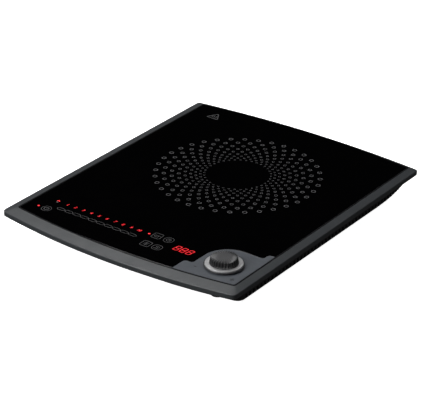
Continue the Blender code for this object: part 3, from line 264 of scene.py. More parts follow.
def row_tree():
    """The modified shape, repeated along a straight row."""
    tree, given, output = new_geometry_tree(
        "Copies in a row", [("Count", "Int"), ("Step", "Vector"), ("Material", "Material")]
    )
    index = node(tree, "GeometryNodeInputIndex").outputs[0]
    step = node(tree, "ShaderNodeVectorMath", {0: given["Step"], "Scale": index}, operation="SCALE")
    points = points_at(tree, given["Count"], step.outputs[0])
    return finish_tree(tree, copies_on(tree, points, given["Geometry"]), given, output)


def round_tree():
    """The modified shape, repeated round an upright axis, with touching edges welded."""
    tree, given, output = new_geometry_tree(
        "Copies round an axis",
        [("Count", "Int"), ("Centre", "Vector"), ("Weld", "Float"), ("Material", "Material")],
    )
    index = node(tree, "GeometryNodeInputIndex").outputs[0]
    turn = maths(tree, "DIVIDE", maths(tree, "MULTIPLY", index, 2 * math.pi), given["Count"])
    euler = node(tree, "ShaderNodeCombineXYZ", {"Z": turn})
    rotation = node(tree, "FunctionNodeEulerToRotation", {0: euler.outputs[0]})
    points = points_at(tree, given["Count"], given["Centre"])
    copies = copies_on(tree, points, given["Geometry"], {"Rotation": rotation.outputs[0]})
    real = node(tree, "GeometryNodeRealizeInstances", {"Geometry": copies})
    values = {"Geometry": real.outputs[0], "Distance": given["Weld"]}
    welded = node(tree, "GeometryNodeMergeByDistance", values)
    return finish_tree(tree, welded.outputs[0], given, output)


def dots_tree():
    """The modified dot, repeated in staggered rings that shrink towards the middle."""
    tree, given, output = new_geometry_tree(
        "Rings of dots",
        [
            ("Rings", "Int"), ("Dots", "Int"), ("Centre", "Vector"), ("Radius", "Float"),
            ("Ratio", "Float"), ("Dot Size", "Float"), ("Material", "Material"),
        ],
    )
    index = node(tree, "GeometryNodeInputIndex").outputs[0]
    ring = maths(tree, "FLOOR", maths(tree, "DIVIDE", index, given["Dots"]))
    stagger = maths(tree, "MULTIPLY", maths(tree, "MODULO", ring, 2.0), 0.5)
    steps = maths(tree, "ADD", maths(tree, "MODULO", index, given["Dots"]), stagger)
    angle = maths(tree, "DIVIDE", maths(tree, "MULTIPLY", steps, 2 * math.pi), given["Dots"])
    radius = maths(tree, "DIVIDE", given["Radius"], maths(tree, "POWER", given["Ratio"], ring))
    place = node(tree, "ShaderNodeCombineXYZ", {
        "X": maths(tree, "MULTIPLY", radius, maths(tree, "COSINE", angle)),
        "Y": maths(tree, "MULTIPLY", radius, maths(tree, "SINE", angle)),
    })
    centred = node(tree, "ShaderNodeVectorMath", {0: place.outputs[0], 1: given["Centre"]}, operation="ADD")
    count = maths(tree, "MULTIPLY", given["Rings"], given["Dots"])
    size = maths(tree, "MULTIPLY", radius, given["Dot Size"])
    scale = node(tree, "ShaderNodeCombineXYZ", {"X": size, "Y": size, "Z": 1.0})
    turn = node(tree, "ShaderNodeCombineXYZ", {"Z": angle})
    rotation = node(tree, "FunctionNodeEulerToRotation", {0: turn.outputs[0]})
    points = points_at(tree, count, centred.outputs[0])
    values = {"Rotation": rotation.outputs[0], "Scale": scale.outputs[0]}
    return finish_tree(tree, copies_on(tree, points, given["Geometry"], values), given, output)


def places_tree():
    """One shape on every vertex of the modified mesh."""
    sockets = [("Shape", "Object"), ("Material", "Material")]
    tree, given, output = new_geometry_tree("Copies at places", sockets)
    shape = node(tree, "GeometryNodeObjectInfo", {"Object": given["Shape"]}).outputs["Geometry"]
    return finish_tree(tree, copies_on(tree, given["Geometry"], shape), given, output)


def winding_tree():
    """Flat spiral of round wire in two layers."""
    tree, given, output = new_geometry_tree(
        "Flat winding",
        [
            ("Turns", "Float"), ("Inner Radius", "Float"), ("Outer Radius", "Float"),
            ("Wire Radius", "Float"), ("Centre", "Vector"), ("Material", "Material"),
        ],
    )
    spiral = node(tree, "GeometryNodeCurveSpiral", {
        "Resolution": 44, "Rotations": given["Turns"], "Height": 0.0,
        "Start Radius": given["Inner Radius"], "End Radius": given["Outer Radius"],
    })
    round_section = {"Resolution": 7, "Radius": given["Wire Radius"]}
    section = node(tree, "GeometryNodeCurvePrimitiveCircle", round_section)
    wire = node(tree, "GeometryNodeCurveToMesh", {
        "Curve": spiral.outputs[0], "Profile Curve": section.outputs[0], "Fill Caps": True,
    })
    layers = node(tree, "GeometryNodeJoinGeometry")
    for side in (-1, 1):
        lift = node(tree, "ShaderNodeCombineXYZ", {"Z": maths(tree, "MULTIPLY", given["Wire Radius"], side)})
        place = node(tree, "ShaderNodeVectorMath", {0: given["Centre"], 1: lift.outputs[0]}, operation="ADD")
        layer = node(tree, "GeometryNodeTransform", {
            "Geometry": wire.outputs[0], "Translation": place.outputs[0],
        })
        tree.links.new(layer.outputs[0], layers.inputs[0])
    smooth = node(tree, "GeometryNodeSetShadeSmooth", {"Geometry": layers.outputs[0]})
    return finish_tree(tree, smooth.outputs[0], given, output)


def run_tree(obj, tree, values):
    """Run a geometry tree on an object and keep its result as the object's plain mesh."""
    modifier = obj.modifiers.new(tree.name, "NODES")
    modifier.node_group = tree
    for item in tree.interface.items_tree:
        if item.in_out == "INPUT" and item.name in values:
            modifier[item.identifier] = values[item.name]
    return bake(obj)


def bake(obj):
    """Replace an object's mesh by what its modifiers make of it."""
    bpy.context.view_layer.update()
    graph = bpy.context.evaluated_depsgraph_get()
    mesh = bpy.data.meshes.new_from_object(obj.evaluated_get(graph))
    obj.modifiers.clear()
    obj.data = mesh
    return obj


# ---------------------------------------------------------------- finishes

def noise(tree, place, size, detail=2.0):
    """Noise whose features are about size across."""
    made = node(tree, "ShaderNodeTexNoise", {"Vector": place, "Scale": 1.0 / size, "Detail": detail})
    return made.outputs["Fac"]


def blend(tree, factor, first, second):
    """Mix two colours by a factor."""
    mixed = node(tree, "ShaderNodeMix", {0: factor, 6: (*first, 1.0), 7: (*second, 1.0)}, data_type="RGBA")
    return mixed.outputs[2]


def spread(tree, value, low, high):
    """Stretch the middle of a noise over a range."""
    made = node(tree, "ShaderNodeMapRange", {0: value, 1: 0.3, 2: 0.7, 3: low, 4: high})
    return made.outputs[0]


def surface(name, colour, roughness, metallic=0.0, specular=0.5, tone=0.08, patch=0.010, gloss=0.05,
            grain=0.0005, depth=0.00001, height=None):
    """Finish with uneven tone, uneven gloss and a fine grain.

    patch and grain are the sizes of the marks. height, a function of the tree and the place,
    adds its own relief and returns it with its depth.
    """
    material = bpy.data.materials.new(name)
    material.use_nodes = True
    tree = material.node_tree
    shader = tree.nodes["Principled BSDF"]
    place = node(tree, "ShaderNodeTexCoord").outputs["Object"]
    patches = spread(tree, noise(tree, place, patch, 4.0), 0.0, 1.0)
    dark = [part * (1 - tone) for part in colour]
    light = [min(1.0, part * (1 + tone)) for part in colour]
    tree.links.new(blend(tree, patches, dark, light), shader.inputs["Base Color"])
    wear = noise(tree, place, patch * 0.35, 5.0)
    tree.links.new(spread(tree, wear, roughness - gloss, roughness + gloss), shader.inputs["Roughness"])
    shader.inputs["Metallic"].default_value = metallic
    shader.inputs["Specular IOR Level"].default_value = specular
    bump = node(tree, "ShaderNodeBump", {"Height": noise(tree, place, grain, 3.0), "Distance": depth})
    if height is not None:
        relief, relief_depth = height(tree, place)
        values = {"Height": relief, "Distance": relief_depth, "Normal": bump.outputs[0]}
        bump = node(tree, "ShaderNodeBump", values)
    tree.links.new(bump.outputs[0], shader.inputs["Normal"])
    return material


def shader_of(material):
    return material.node_tree.nodes["Principled BSDF"]


def turned_lines(centre, pitch, depth):
    """Relief of fine circles round an upright axis, as a lathe leaves."""
    def height(tree, place):
        shifted = node(tree, "ShaderNodeMapping", {"Vector": place, "Location": (-centre.x, -centre.y, 0.0)})
        lines = node(
            tree, "ShaderNodeTexWave",
            {"Vector": shifted.outputs[0], "Scale": 0.31 / pitch, "Distortion": 0.4, "Detail": 2.0},
            wave_type="RINGS", rings_direction="Z",
        )
        return lines.outputs["Fac"], depth
    return height


def straight_lines(axis, pitch, depth):
    """Relief of fine straight lines across one axis."""
    def height(tree, place):
        lines = node(
            tree, "ShaderNodeTexWave",
            {"Vector": place, "Scale": 0.31 / pitch, "Distortion": 1.5, "Detail": 2.0},
            wave_type="BANDS", bands_direction=axis,
        )
        return lines.outputs["Fac"], depth
    return height


def cells(size, depth):
    """Relief of small irregular cells."""
    def height(tree, place):
        made = node(tree, "ShaderNodeTexVoronoi", {"Vector": place, "Scale": 1.0 / size})
        return made.outputs["Distance"], depth
    return height


def knob_plastic():
    """Satin top over a side painted nearly black, as painted shade in the flutes."""
    colour = bpy.context.scene.hob_colours.knob
    made = surface(
        "knob_plastic", colour, 0.36, tone=0.07, patch=0.005, grain=0.0003, depth=0.000006,
        height=turned_lines(DIAL, 0.0004, 0.000002),
    )
    tree = made.node_tree
    shader = shader_of(made)
    satin = shader.inputs["Base Color"].links[0].from_socket
    place = node(tree, "ShaderNodeTexCoord").outputs["Object"]
    height = node(tree, "ShaderNodeSeparateXYZ", {0: place}).outputs["Z"]
    # Painted shade: below the top, the fluted side is coloured at 0.22 of the knob's colour, standing in for
    # the shade in the flutes and at the foot.
    rise = {0: height, 1: KNOB_HIGH.z - 0.0019, 2: KNOB_HIGH.z - 0.0005}
    share = node(tree, "ShaderNodeMapRange", rise).outputs[0]
    painted_side_shade = (*(part * 0.22 for part in colour), 1.0)
    mixed = node(tree, "ShaderNodeMix", {0: share, 6: painted_side_shade, 7: satin}, data_type="RGBA")
    tree.links.new(mixed.outputs[2], shader.inputs["Base Color"])
    return made


def lamp_red(name, strength):
    """Red that glows through the glass, a little uneven as small lamps are."""
    colour = bpy.context.scene.hob_colours.lamp
    made = surface(name, colour, 0.30, tone=0.10, patch=0.002, depth=0.000002)
    tree = made.node_tree
    shader = shader_of(made)
    place = node(tree, "ShaderNodeTexCoord").outputs["Object"]
    dim = [part * 0.75 for part in colour]
    glow = blend(tree, spread(tree, noise(tree, place, 0.0015), 0.0, 1.0), dim, colour)
    tree.links.new(glow, shader.inputs["Emission Color"])
    shader.inputs["Emission Strength"].default_value = strength
    return made


# colour, or its name in HobColours, roughness and the rest of each finish
FINISHES = {
    "frame_plastic": ("frame", 0.40, {"tone": 0.05, "patch": 0.020, "grain": 0.0004, "depth": 0.000012}),
    "panel_plastic": (
        "panel", 0.50,
        {"specular": 0.35, "tone": 0.05, "patch": 0.015, "grain": 0.0003, "depth": 0.000008},
    ),
    "tub_plastic": (
        "tub", 0.55,
        {"tone": 0.15, "patch": 0.008, "grain": 0.0007, "depth": 0.00005, "height": cells(0.0009, 0.00002)},
    ),
    "black_glass": (
        "glass", 0.07,
        {
            "specular": 0.35, "tone": 0.15, "patch": 0.060, "gloss": 0.02, "grain": 0.0200,
            "depth": 0.0000004,
        },
    ),
    "print_ink": (
        "print", 0.45,
        {"specular": 0.1, "tone": 0.12, "patch": 0.003, "grain": 0.0003, "depth": 0.000004},
    ),
    "satin_metal": (
        "ring", 0.38,
        {
            "metallic": 0.75, "tone": 0.05, "patch": 0.006, "grain": 0.0002, "depth": 0.000002,
            "height": turned_lines(DIAL, 0.0003, 0.000004),
        },
    ),
    "black_rubber": (
        (0.012, 0.012, 0.012), 0.80, {"tone": 0.2, "patch": 0.003, "grain": 0.0004, "depth": 0.00004},
    ),
    # Partly painted shade: a real seal, coloured darker than its black rubber so that the groove reads as a
    # dark line of shade.
    "groove_seal": (
        (0.0015, 0.0015, 0.0020), 0.70, {"specular": 0.15, "tone": 0.2, "patch": 0.003},
    ),
    "dark_print": ((0.004, 0.005, 0.008), 0.50, {"tone": 0.15, "patch": 0.002, "depth": 0.000003}),
    "zinc_steel": (
        (0.56, 0.56, 0.53), 0.34,
        {"metallic": 1.0, "tone": 0.10, "patch": 0.002, "gloss": 0.08, "depth": 0.000006},
    ),
    "circuit_board": (
        (0.020, 0.105, 0.045), 0.42, {"tone": 0.25, "patch": 0.003, "height": cells(0.0030, 0.00003)},
    ),
    "copper_wire": (
        (0.62, 0.26, 0.11), 0.38,
        {"metallic": 1.0, "tone": 0.12, "patch": 0.004, "gloss": 0.08, "grain": 0.0003, "depth": 0.00004},
    ),
    "mica_sheet": (
        (0.62, 0.56, 0.45), 0.50,
        {"tone": 0.18, "patch": 0.004, "gloss": 0.12, "height": cells(0.0040, 0.00003)},
    ),
    "ferrite": (
        (0.026, 0.026, 0.029), 0.62, {"tone": 0.25, "patch": 0.001, "grain": 0.0003, "depth": 0.00003},
    ),
    "aluminium": (
        (0.66, 0.67, 0.68), 0.36,
        {"metallic": 1.0, "tone": 0.05, "patch": 0.006, "height": straight_lines("X", 0.0004, 0.00001)},
    ),
    "moulded_black": ((0.015, 0.015, 0.017), 0.46, {"tone": 0.15, "patch": 0.006, "depth": 0.00002}),
    "white_plastic": ((0.70, 0.69, 0.64), 0.48, {"tone": 0.04, "patch": 0.008}),
    "yellow_film": ((0.55, 0.37, 0.06), 0.40, {"patch": 0.004, "tone": 0.10}),
    "red_lens": ((0.30, 0.008, 0.010), 0.28, {"tone": 0.15, "patch": 0.003, "depth": 0.000004}),
}


def finish(name):
    """A new material of one of the finishes."""
    colour, roughness, options = FINISHES[name]
    if isinstance(colour, str):
        colour = getattr(bpy.context.scene.hob_colours, colour)
    return surface(name, colour, roughness, **options)


def floor_paper():
    """White paper lit evenly from behind."""
    made = surface("floor_paper", (0.86, 0.86, 0.86), 0.90, tone=0.004, patch=0.4, depth=0.00002)
    shader = shader_of(made)
    shader.inputs["Emission Color"].default_value = (1.0, 1.0, 1.0, 1.0)
    shader.inputs["Emission Strength"].default_value = FLOOR_GLOW
    return made


# ---------------------------------------------------------------- shapes

def rounded(corners, steps):
    """Turn (x, y, radius) corners into an outline with each corner drawn as an arc."""
    points = []
    for index, (x, y, radius) in enumerate(corners):
        corner = Vector((x, y))
        if radius <= 0:
            points.append((x, y))
            continue
        before = (Vector(corners[index - 1][:2]) - corner).normalized()
        after = (Vector(corners[(index + 1) % len(corners)][:2]) - corner).normalized()
        half = before.angle(after) / 2
        centre = corner + (before + after).normalized() * radius / math.sin(half)
        first = corner + before * radius / math.tan(half) - centre
        last = corner + after * radius / math.tan(half) - centre
        sweep = first.angle(last)
        for step in range(steps + 1):
            share = step / steps
            spoke = (first * math.sin((1 - share) * sweep) + last * math.sin(share * sweep)) / math.sin(sweep)
            points.append(tuple(centre + spoke))
    return points


def circle(radius, count, centre=(0.0, 0.0)):
    turns = [2 * math.pi * index / count for index in range(count)]
    return [(centre[0] + radius * math.cos(turn), centre[1] + radius * math.sin(turn)) for turn in turns]


def add_loft(bm, levels, closed=False):
    """Add a skin over (outline, height) levels; its ends are capped, or joined when closed."""
    rings = [[bm.verts.new((x, y, z)) for x, y in outline] for outline, z in levels]
    pairs = list(zip(rings, rings[1:]))
    faces = []
    if closed:
        pairs.append((rings[-1], rings[0]))
    else:
        faces = [bm.faces.new(rings[0]), bm.faces.new(rings[-1])]
    for low, high in pairs:
        for index in range(len(low)):
            following = (index + 1) % len(low)
            faces.append(bm.faces.new((low[index], low[following], high[following], high[index])))
    bmesh.ops.recalc_face_normals(bm, faces=faces)


def loft(levels, closed=False):
    bm = bmesh.new()
    add_loft(bm, levels, closed)
    return bm


def slab(plan, low, high):
    """A plate with upright walls."""
    return loft([(plan, low), (plan, high)])


def tube(first, last, low, high):
    """A closed ring between two outlines."""
    return loft([(first, low), (first, high), (last, high), (last, low)], closed=True)


def turned(profile, count, closed=False, centre=(0.0, 0.0)):
    """Turn a (radius, height) profile about an upright axis."""
    return loft([(circle(radius, count, centre), z) for radius, z in profile], closed)


def add_box(bm, low, high):
    size = Vector(high) - Vector(low)
    matrix = Matrix.Translation((Vector(high) + Vector(low)) / 2) @ Matrix.Diagonal((*size, 1.0))
    bmesh.ops.create_cube(bm, size=1.0, matrix=matrix)


def add_cylinder(bm, centre, radius, low, high, count=24):
    add_loft(bm, [(circle(radius, count, centre), low), (circle(radius, count, centre), high)])


def make_object(name, bm, material):
    """Named object from a bmesh."""
    mesh = bpy.data.meshes.new(name)
    bm.to_mesh(mesh)
    bm.free()
    mesh.materials.append(material)
    obj = bpy.data.objects.new(name, mesh)
    bpy.context.scene.collection.objects.link(obj)
    return obj


def shade(obj, smooth):
    """Smooth shading that keeps edges above an angle crisp and broad faces flat."""
    obj.data.shade_smooth()
    obj.data.set_sharp_from_angle(angle=math.radians(smooth))
    even = obj.modifiers.new("Weighted Normal", "WEIGHTED_NORMAL")
    even.keep_sharp = True
    bake(obj)


def combine(obj, bm, operation):
    """Join, cut or trim an object with a second shape."""
    tool = make_object("tool", bm, obj.data.materials[0])
    modifier = obj.modifiers.new(operation, "BOOLEAN")
    modifier.operation = operation
    modifier.solver = "EXACT"
    modifier.object = tool
    bake(obj)
    bpy.data.objects.remove(tool)


def soften(obj, width, segments=2, limit=35.0):
    """Break the sharp edges of an object."""
    bevel = obj.modifiers.new("Bevel", "BEVEL")
    bevel.width = width
    bevel.segments = segments
    bevel.limit_method = "ANGLE"
    bevel.angle_limit = math.radians(limit)
    bake(obj)


def seat(obj, body, slot, *nodes, smooth=38.0):
    """Shade a finished piece, let it ride on a body, and let it stand for its CAD nodes."""
    shade(obj, smooth)
    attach(obj, body)
    if nodes:
        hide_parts(*nodes)
    return obj


def refined(node_name, material, slot, body="casing", edge=0.0002):
    """Finished copy of a CAD node: one skin, clean flats, broken edges and smooth rounds."""
    source = frame["nodes"][node_name]
    bm = bmesh.new()
    bm.from_mesh(source.data)
    bmesh.ops.remove_doubles(bm, verts=bm.verts, dist=0.000002)
    flat = math.radians(0.6)
    bmesh.ops.dissolve_limit(bm, angle_limit=flat, verts=bm.verts, edges=bm.edges)
    obj = make_object(node_name + "_skin", bm, material)
    if edge > 0:
        soften(obj, edge, limit=40.0)
    return seat(obj, body, slot, node_name)


# ---------------------------------------------------------------- plan outlines

def axis_of(node_name):
    """Plan place of the axis of an upright piece."""
    low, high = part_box(node_name)
    return (low.x + high.x) / 2, (low.y + high.y) / 2


def plate_plan(side, front, back, front_bow, back_bow, corners, steps=40):
    """Outline inside the frame's outer edge by the given strips, with bowed ends."""
    sizes = bpy.context.scene.hob_sizes
    half = HALF - side
    front_line = FRAME_LOW.y + sizes.front_bow + front
    back_line = FRAME_HIGH.y - sizes.back_bow - back
    outline = []
    for edge, bow, direction, radius in (
        (front_line, -front_bow, 1, corners[0]), (back_line, back_bow, -1, corners[1])
    ):
        for step in range(steps + 1):
            share = direction * (2 * step / steps - 1)
            corner = radius if step in (0, steps) else 0.0
            outline.append((half * share, edge + bow * (1 - share**2), corner))
    return rounded(outline, 8)


def strips():
    """Widths of the frame's side, front and back strips, from the boxes of frame and glass."""
    sizes = bpy.context.scene.hob_sizes
    side = HALF - GLASS_HIGH.x - sizes.groove
    front = GLASS_LOW.y - FRAME_LOW.y - sizes.front_bow + sizes.inner_bow - sizes.groove
    back = FRAME_HIGH.y - GLASS_HIGH.y - sizes.groove
    return side, front, back


def glass_plan(inset=0.0):
    """Outline of the glass, with the panel's corner still in it."""
    sizes = bpy.context.scene.hob_sizes
    side, front, back = (strip + sizes.groove + inset for strip in strips())
    return plate_plan(side, front, back, sizes.inner_bow, sizes.back_bow, inner_corners())


def inner_corners():
    return (bpy.context.scene.hob_sizes.inner_radius,) * 2


def panel_plan(grow=0.0):
    """Outline of the corner panel, running on past the corner of the frame."""
    sizes = bpy.context.scene.hob_sizes
    tab = sizes.panel_tab
    tab_left = PANEL_LOW.x - grow
    left = tab_left + tab
    tab_back = PANEL_HIGH.y + grow
    back = tab_back - tab
    tab_front = FRAME_LOW.y + sizes.front_bow + strips()[1] + PANEL_SHOULDER + grow
    tab_right = HALF - strips()[0] - BACK_TAB_WIDTH - grow
    outside = HALF + tab
    front = FRAME_LOW.y - tab
    small = TAB_RADIUS
    return rounded([
        (tab_left, front, 0.0),
        (outside, front, 0.0),
        (outside, tab_back, 0.0),
        (tab_right, tab_back, small + grow),
        (tab_right, back, small - grow),
        (left, back, sizes.panel_radius + grow),
        (left, tab_front, small - grow),
        (tab_left, tab_front, small + grow),
    ], 10)


# ---------------------------------------------------------------- print on the glass

def arc(radius, start, end, steps=16, centre=(0.0, 0.0)):
    """Points along an arc, angles in degrees."""
    points = []
    for step in range(steps + 1):
        turn = math.radians(start + (end - start) * step / steps)
        points.append((centre[0] + radius * math.cos(turn), centre[1] + radius * math.sin(turn)))
    return points


def offsets(points, width, closed):
    """Left and right edges of a line of the given width."""
    left, right = [], []
    count = len(points)
    for index, point in enumerate(points):
        here = Vector(point)
        before = Vector(points[index - 1]) if closed or index > 0 else here
        after = Vector(points[(index + 1) % count]) if closed or index < count - 1 else here
        first = (here - before).normalized() if here != before else (after - here).normalized()
        last = (after - here).normalized() if after != here else first
        along = (first + last).normalized()
        reach = width / 2 / max(0.5, along.dot(first))
        normal = Vector((-along.y, along.x)) * reach
        left.append(tuple(here + normal))
        right.append(tuple(here - normal))
    return left, right


def draw_line(bm, points, width, place=(0.0, 0.0), scale=1.0, closed=False, low=None):
    """Add a printed line: a thin raised band along points."""
    low = TOP - INK / 4 if low is None else low
    moved = [(place[0] + scale * x, place[1] + scale * y) for x, y in points]
    left, right = offsets(moved, width, closed)
    if closed:
        levels = [(left, low), (left, low + INK), (right, low + INK), (right, low)]
        add_loft(bm, levels, closed=True)
    else:
        outline = left + right[::-1]
        add_loft(bm, [(outline, low), (outline, low + INK)])


def draw_patch(bm, outline, place=(0.0, 0.0), scale=1.0):
    """Add a printed patch with the given outline."""
    moved = [(place[0] + scale * x, place[1] + scale * y) for x, y in outline]
    add_loft(bm, [(moved, TOP - INK / 4), (moved, TOP - INK / 4 + INK)])


def frame_square(radius=0.3):
    return rounded([(-1, -1, radius), (1, -1, radius), (1, 1, radius), (-1, 1, radius)], 4)


def on_glass(x, y):
    """Place on the glass from its middle line and from the middle of its front edge."""
    return x, GLASS_LOW.y + y


def wave(x, low=-0.2, high=0.55, swing=0.09):
    """A short upright wavy line."""
    steps = 10
    points = []
    for step in range(steps + 1):
        share = step / steps
        points.append((x + swing * math.sin(2 * math.pi * share), low + (high - low) * share))
    return points


def draw_key(bm, spot, lines, half=KEY_HALF):
    """Add a printed key from its lines: points, width, and whether the line is closed."""
    for points, width, closed in lines:
        draw_line(bm, points, width, spot, half, closed=closed)


def power_lines():
    """Circle with the sign for on and off."""
    return [
        (circle(1.0, 28), FINE_LINE, True), (arc(0.50, 125, 415, 22), BOLD_LINE, False),
        ([(0.0, 0.05), (0.0, 0.66)], BOLD_LINE, False),
    ]


def pan_lines():
    """Square key with a pan on it."""
    return [
        (frame_square(), KEY_LINE, True),
        ([(-0.55, 0.15), (-0.5, -0.4), (0.3, -0.4), (0.35, 0.15)], KEY_LINE, False),
        ([(-0.62, 0.15), (0.75, 0.2)], KEY_LINE, False),
    ]


def clock_lines():
    """Round key with a clock on it."""
    return [
        (frame_square(0.8), KEY_LINE, True), (circle(0.5, 20), KEY_LINE, True),
        ([(0.0, 0.32), (0.0, 0.0), (0.22, -0.1)], FINE_LINE, False),
    ]


def step_lines():
    """Square key with a grid of steps on it."""
    rows = [([(-0.5, height), (0.5, height)], KEY_LINE, False) for height in (-0.4, 0.0, 0.4)]
    return [(frame_square(), KEY_LINE, True), *rows, ([(0.0, -0.55), (0.0, 0.55)], KEY_LINE, False)]


def steam_lines():
    """Round key with rising steam on it."""
    plumes = [(wave(x), FINE_LINE, False) for x in (-0.3, 0.05, 0.4)]
    return [(frame_square(0.8), KEY_LINE, True), ([(-0.55, -0.45), (0.55, -0.45)], KEY_LINE, False), *plumes]


def hot_sign(bm, spot, half):
    """Triangle with rising heat in it."""
    corners = [(-1.0, -0.87, 0.16), (1.0, -0.87, 0.16), (0.0, 0.87, 0.16)]
    draw_line(bm, rounded(corners, 4), 0.0010, spot, half, closed=True)
    for x in (-0.32, 0.0, 0.32):
        draw_line(bm, wave(x, -0.55, 0.10, 0.07), 0.0007, spot, half)


def seven_segments(bm, place, width, height, slant, bar):
    """One lit figure eight of seven slanted bars."""
    gap = bar * 0.12
    half = height / 2
    upright = half - 2 * gap
    across = width - bar - 2 * gap
    bars = [(0.0, level, across, False) for level in (-half, 0.0, half)]
    for side in (-1, 1):
        bars += [(side * (width - bar) / 2, level, upright, True) for level in (-half / 2, half / 2)]
    for x, y, length, standing in bars:
        tip = length / 2
        flat = tip - bar / 2
        shape = [(-tip, 0), (-flat, -bar / 2), (flat, -bar / 2), (tip, 0), (flat, bar / 2), (-flat, bar / 2)]
        if standing:
            shape = [(-b, a) for a, b in shape]
        draw_patch(bm, [(x + a + slant * (y + b), y + b) for a, b in shape], place)


def figure(text, place, size, material):
    """One printed number as a plain mesh."""
    curve = bpy.data.curves.new("figure", "FONT")
    curve.body = text
    curve.size = size
    curve.shear = 0.25
    curve.align_x = "CENTER"
    curve.align_y = "CENTER"
    curve.offset = size * 0.012
    curve.extrude = INK / 2
    curve.resolution_u = 3
    obj = bpy.data.objects.new(f"figure_{text}", curve)
    bpy.context.scene.collection.objects.link(obj)
    bpy.context.view_layer.update()
    mesh = bpy.data.meshes.new_from_object(obj)
    bpy.data.objects.remove(obj)
    mesh.transform(Matrix.Translation((place[0], place[1], TOP + INK / 4)))
    mesh.materials.clear()
    mesh.materials.append(material)
    made = bpy.data.objects.new(f"figure_{text}", mesh)
    bpy.context.scene.collection.objects.link(made)
    return made


# ---------------------------------------------------------------- operators

class HOB_OT_stage(bpy.types.Operator):
    """Floor, backdrop, soft lights and camera."""

    bl_idname = "hob.stage"
    bl_label = "Stage"

    def execute(self, context):
        make_floor()
        make_world(context.scene)
        make_lights()
        make_camera(context.scene)
        return {"FINISHED"}


def make_floor():
    bm = bmesh.new()
    bmesh.ops.create_grid(bm, x_segments=1, y_segments=1, size=FLOOR_HALF)
    floor = make_object("floor", bm, floor_paper())
    floor.visible_diffuse = False
    floor.visible_glossy = False


def make_world(scene):
    """Pale low horizon that darkens quickly upwards, so that the flat glass stays black."""
    world = bpy.data.worlds.new("studio")
    scene.world = world
    world.use_nodes = True
    tree = world.node_tree
    direction = node(tree, "ShaderNodeTexCoord").outputs["Generated"]
    height = node(tree, "ShaderNodeSeparateXYZ", {0: direction}).outputs["Z"]
    above = node(tree, "ShaderNodeMapRange", {0: height, 1: 0.02, 2: 0.13, 3: HORIZON, 4: SKY}).outputs[0]
    below = node(tree, "ShaderNodeMapRange", {0: height, 1: -0.05, 2: 0.0, 3: GROUND, 4: HORIZON}).outputs[0]
    tree.links.new(maths(tree, "MINIMUM", above, below), tree.nodes["Background"].inputs["Color"])


def make_lights():
    """Large soft lamps: a broad one overhead, one behind on the left and one in front on the left."""
    middle = Vector((0.0, 0.0, TOP))
    for name, direction, distance, size, power in (
        ("lamp_overhead", (0.10, -0.15, 1.00), 3.2, 2.0, 55.0),
        ("lamp_front", (-0.35, -0.75, 0.56), 3.0, 1.6, 80.0),
        ("lamp_back_left", (-0.50, 0.42, 0.76), 3.0, 0.8, 14.0),
    ):
        light = bpy.data.lights.new(name, "AREA")
        light.shape = "DISK"
        light.size = size
        light.energy = power
        lamp = bpy.data.objects.new(name, light)
        aim = Vector(direction).normalized()
        lamp.location = middle + aim * distance
        lamp.rotation_euler = aim.to_track_quat("Z", "Y").to_euler()
        bpy.context.scene.collection.objects.link(lamp)


def make_camera(scene):
    """Long lens, low over the front right corner."""
    flat = math.cos(VIEW_ELEVATION)
    back = Vector((math.sin(VIEW_AZIMUTH) * flat, -math.cos(VIEW_AZIMUTH) * flat, math.sin(VIEW_ELEVATION)))
    level = Vector((0.0, 0.0, 1.0)).cross(back).normalized()
    upright = back.cross(level)
    right = math.cos(VIEW_ROLL) * level + math.sin(VIEW_ROLL) * upright
    up = math.cos(VIEW_ROLL) * upright - math.sin(VIEW_ROLL) * level
    front, rear = strips()[1:]
    sizes = scene.hob_sizes
    near = FRAME_LOW.y + sizes.front_bow + front + sizes.groove
    far = FRAME_HIGH.y - sizes.back_bow - rear - sizes.groove
    aim = Vector((0.0, (near + far) / 2, TOP))
    place = aim + back * VIEW_DISTANCE + right * VIEW_SHIFT[0] + up * VIEW_SHIFT[1]
    camera = bpy.data.objects.new("camera", bpy.data.cameras.new("camera"))
    camera.data.lens = VIEW_LENS
    camera.data.sensor_width = 36.0
    camera.data.clip_end = 100.0
    turn = Matrix((right, up, back)).transposed().to_4x4()
    camera.matrix_world = Matrix.Translation(place) @ turn
    scene.collection.objects.link(camera)
    scene.camera = camera
    scene.view_settings.view_transform = "Standard"


class HOB_OT_glass(bpy.types.Operator):
    """Black glass with its broken edge, the gasket under it and the dark seal in the groove, a real seal
    coloured darker than its rubber as painted shade in the groove.
    """

    bl_idname = "hob.glass"
    bl_label = "Glass and gasket"

    def execute(self, context):
        plate = slab(glass_plan(SEAL_LAP), GLASS_LOW.z, TOP)
        glass = make_object("glass_plate", plate, finish("black_glass"))
        corner = slab(panel_plan(CLEARANCE), GLASS_LOW.z - OVERCUT, TOP + OVERCUT)
        combine(glass, corner, "DIFFERENCE")
        soften(glass, PLATE_EDGE, 3, 50.0)
        seat(glass, "casing", "black_glass", "glass_top")
        rim = tube(glass_plan(CLEARANCE), glass_plan(CLEARANCE + GASKET_WIDTH), GASKET_LOW.z, GASKET_HIGH.z)
        gasket = make_object("gasket", rim, finish("black_rubber"))
        inside = glass_plan(SEAL_LAP - SEAL_PLAY)
        outside = glass_plan(SEAL_PLAY - context.scene.hob_sizes.groove)
        seal = tube(inside, outside, GLASS_LOW.z, TOP - SEAL_DEPTH)
        seat(make_object("groove_seal", seal, finish("groove_seal")), "casing", "black_rubber")
        seat(gasket, "casing", "black_rubber", "glass_gasket")
        return {"FINISHED"}


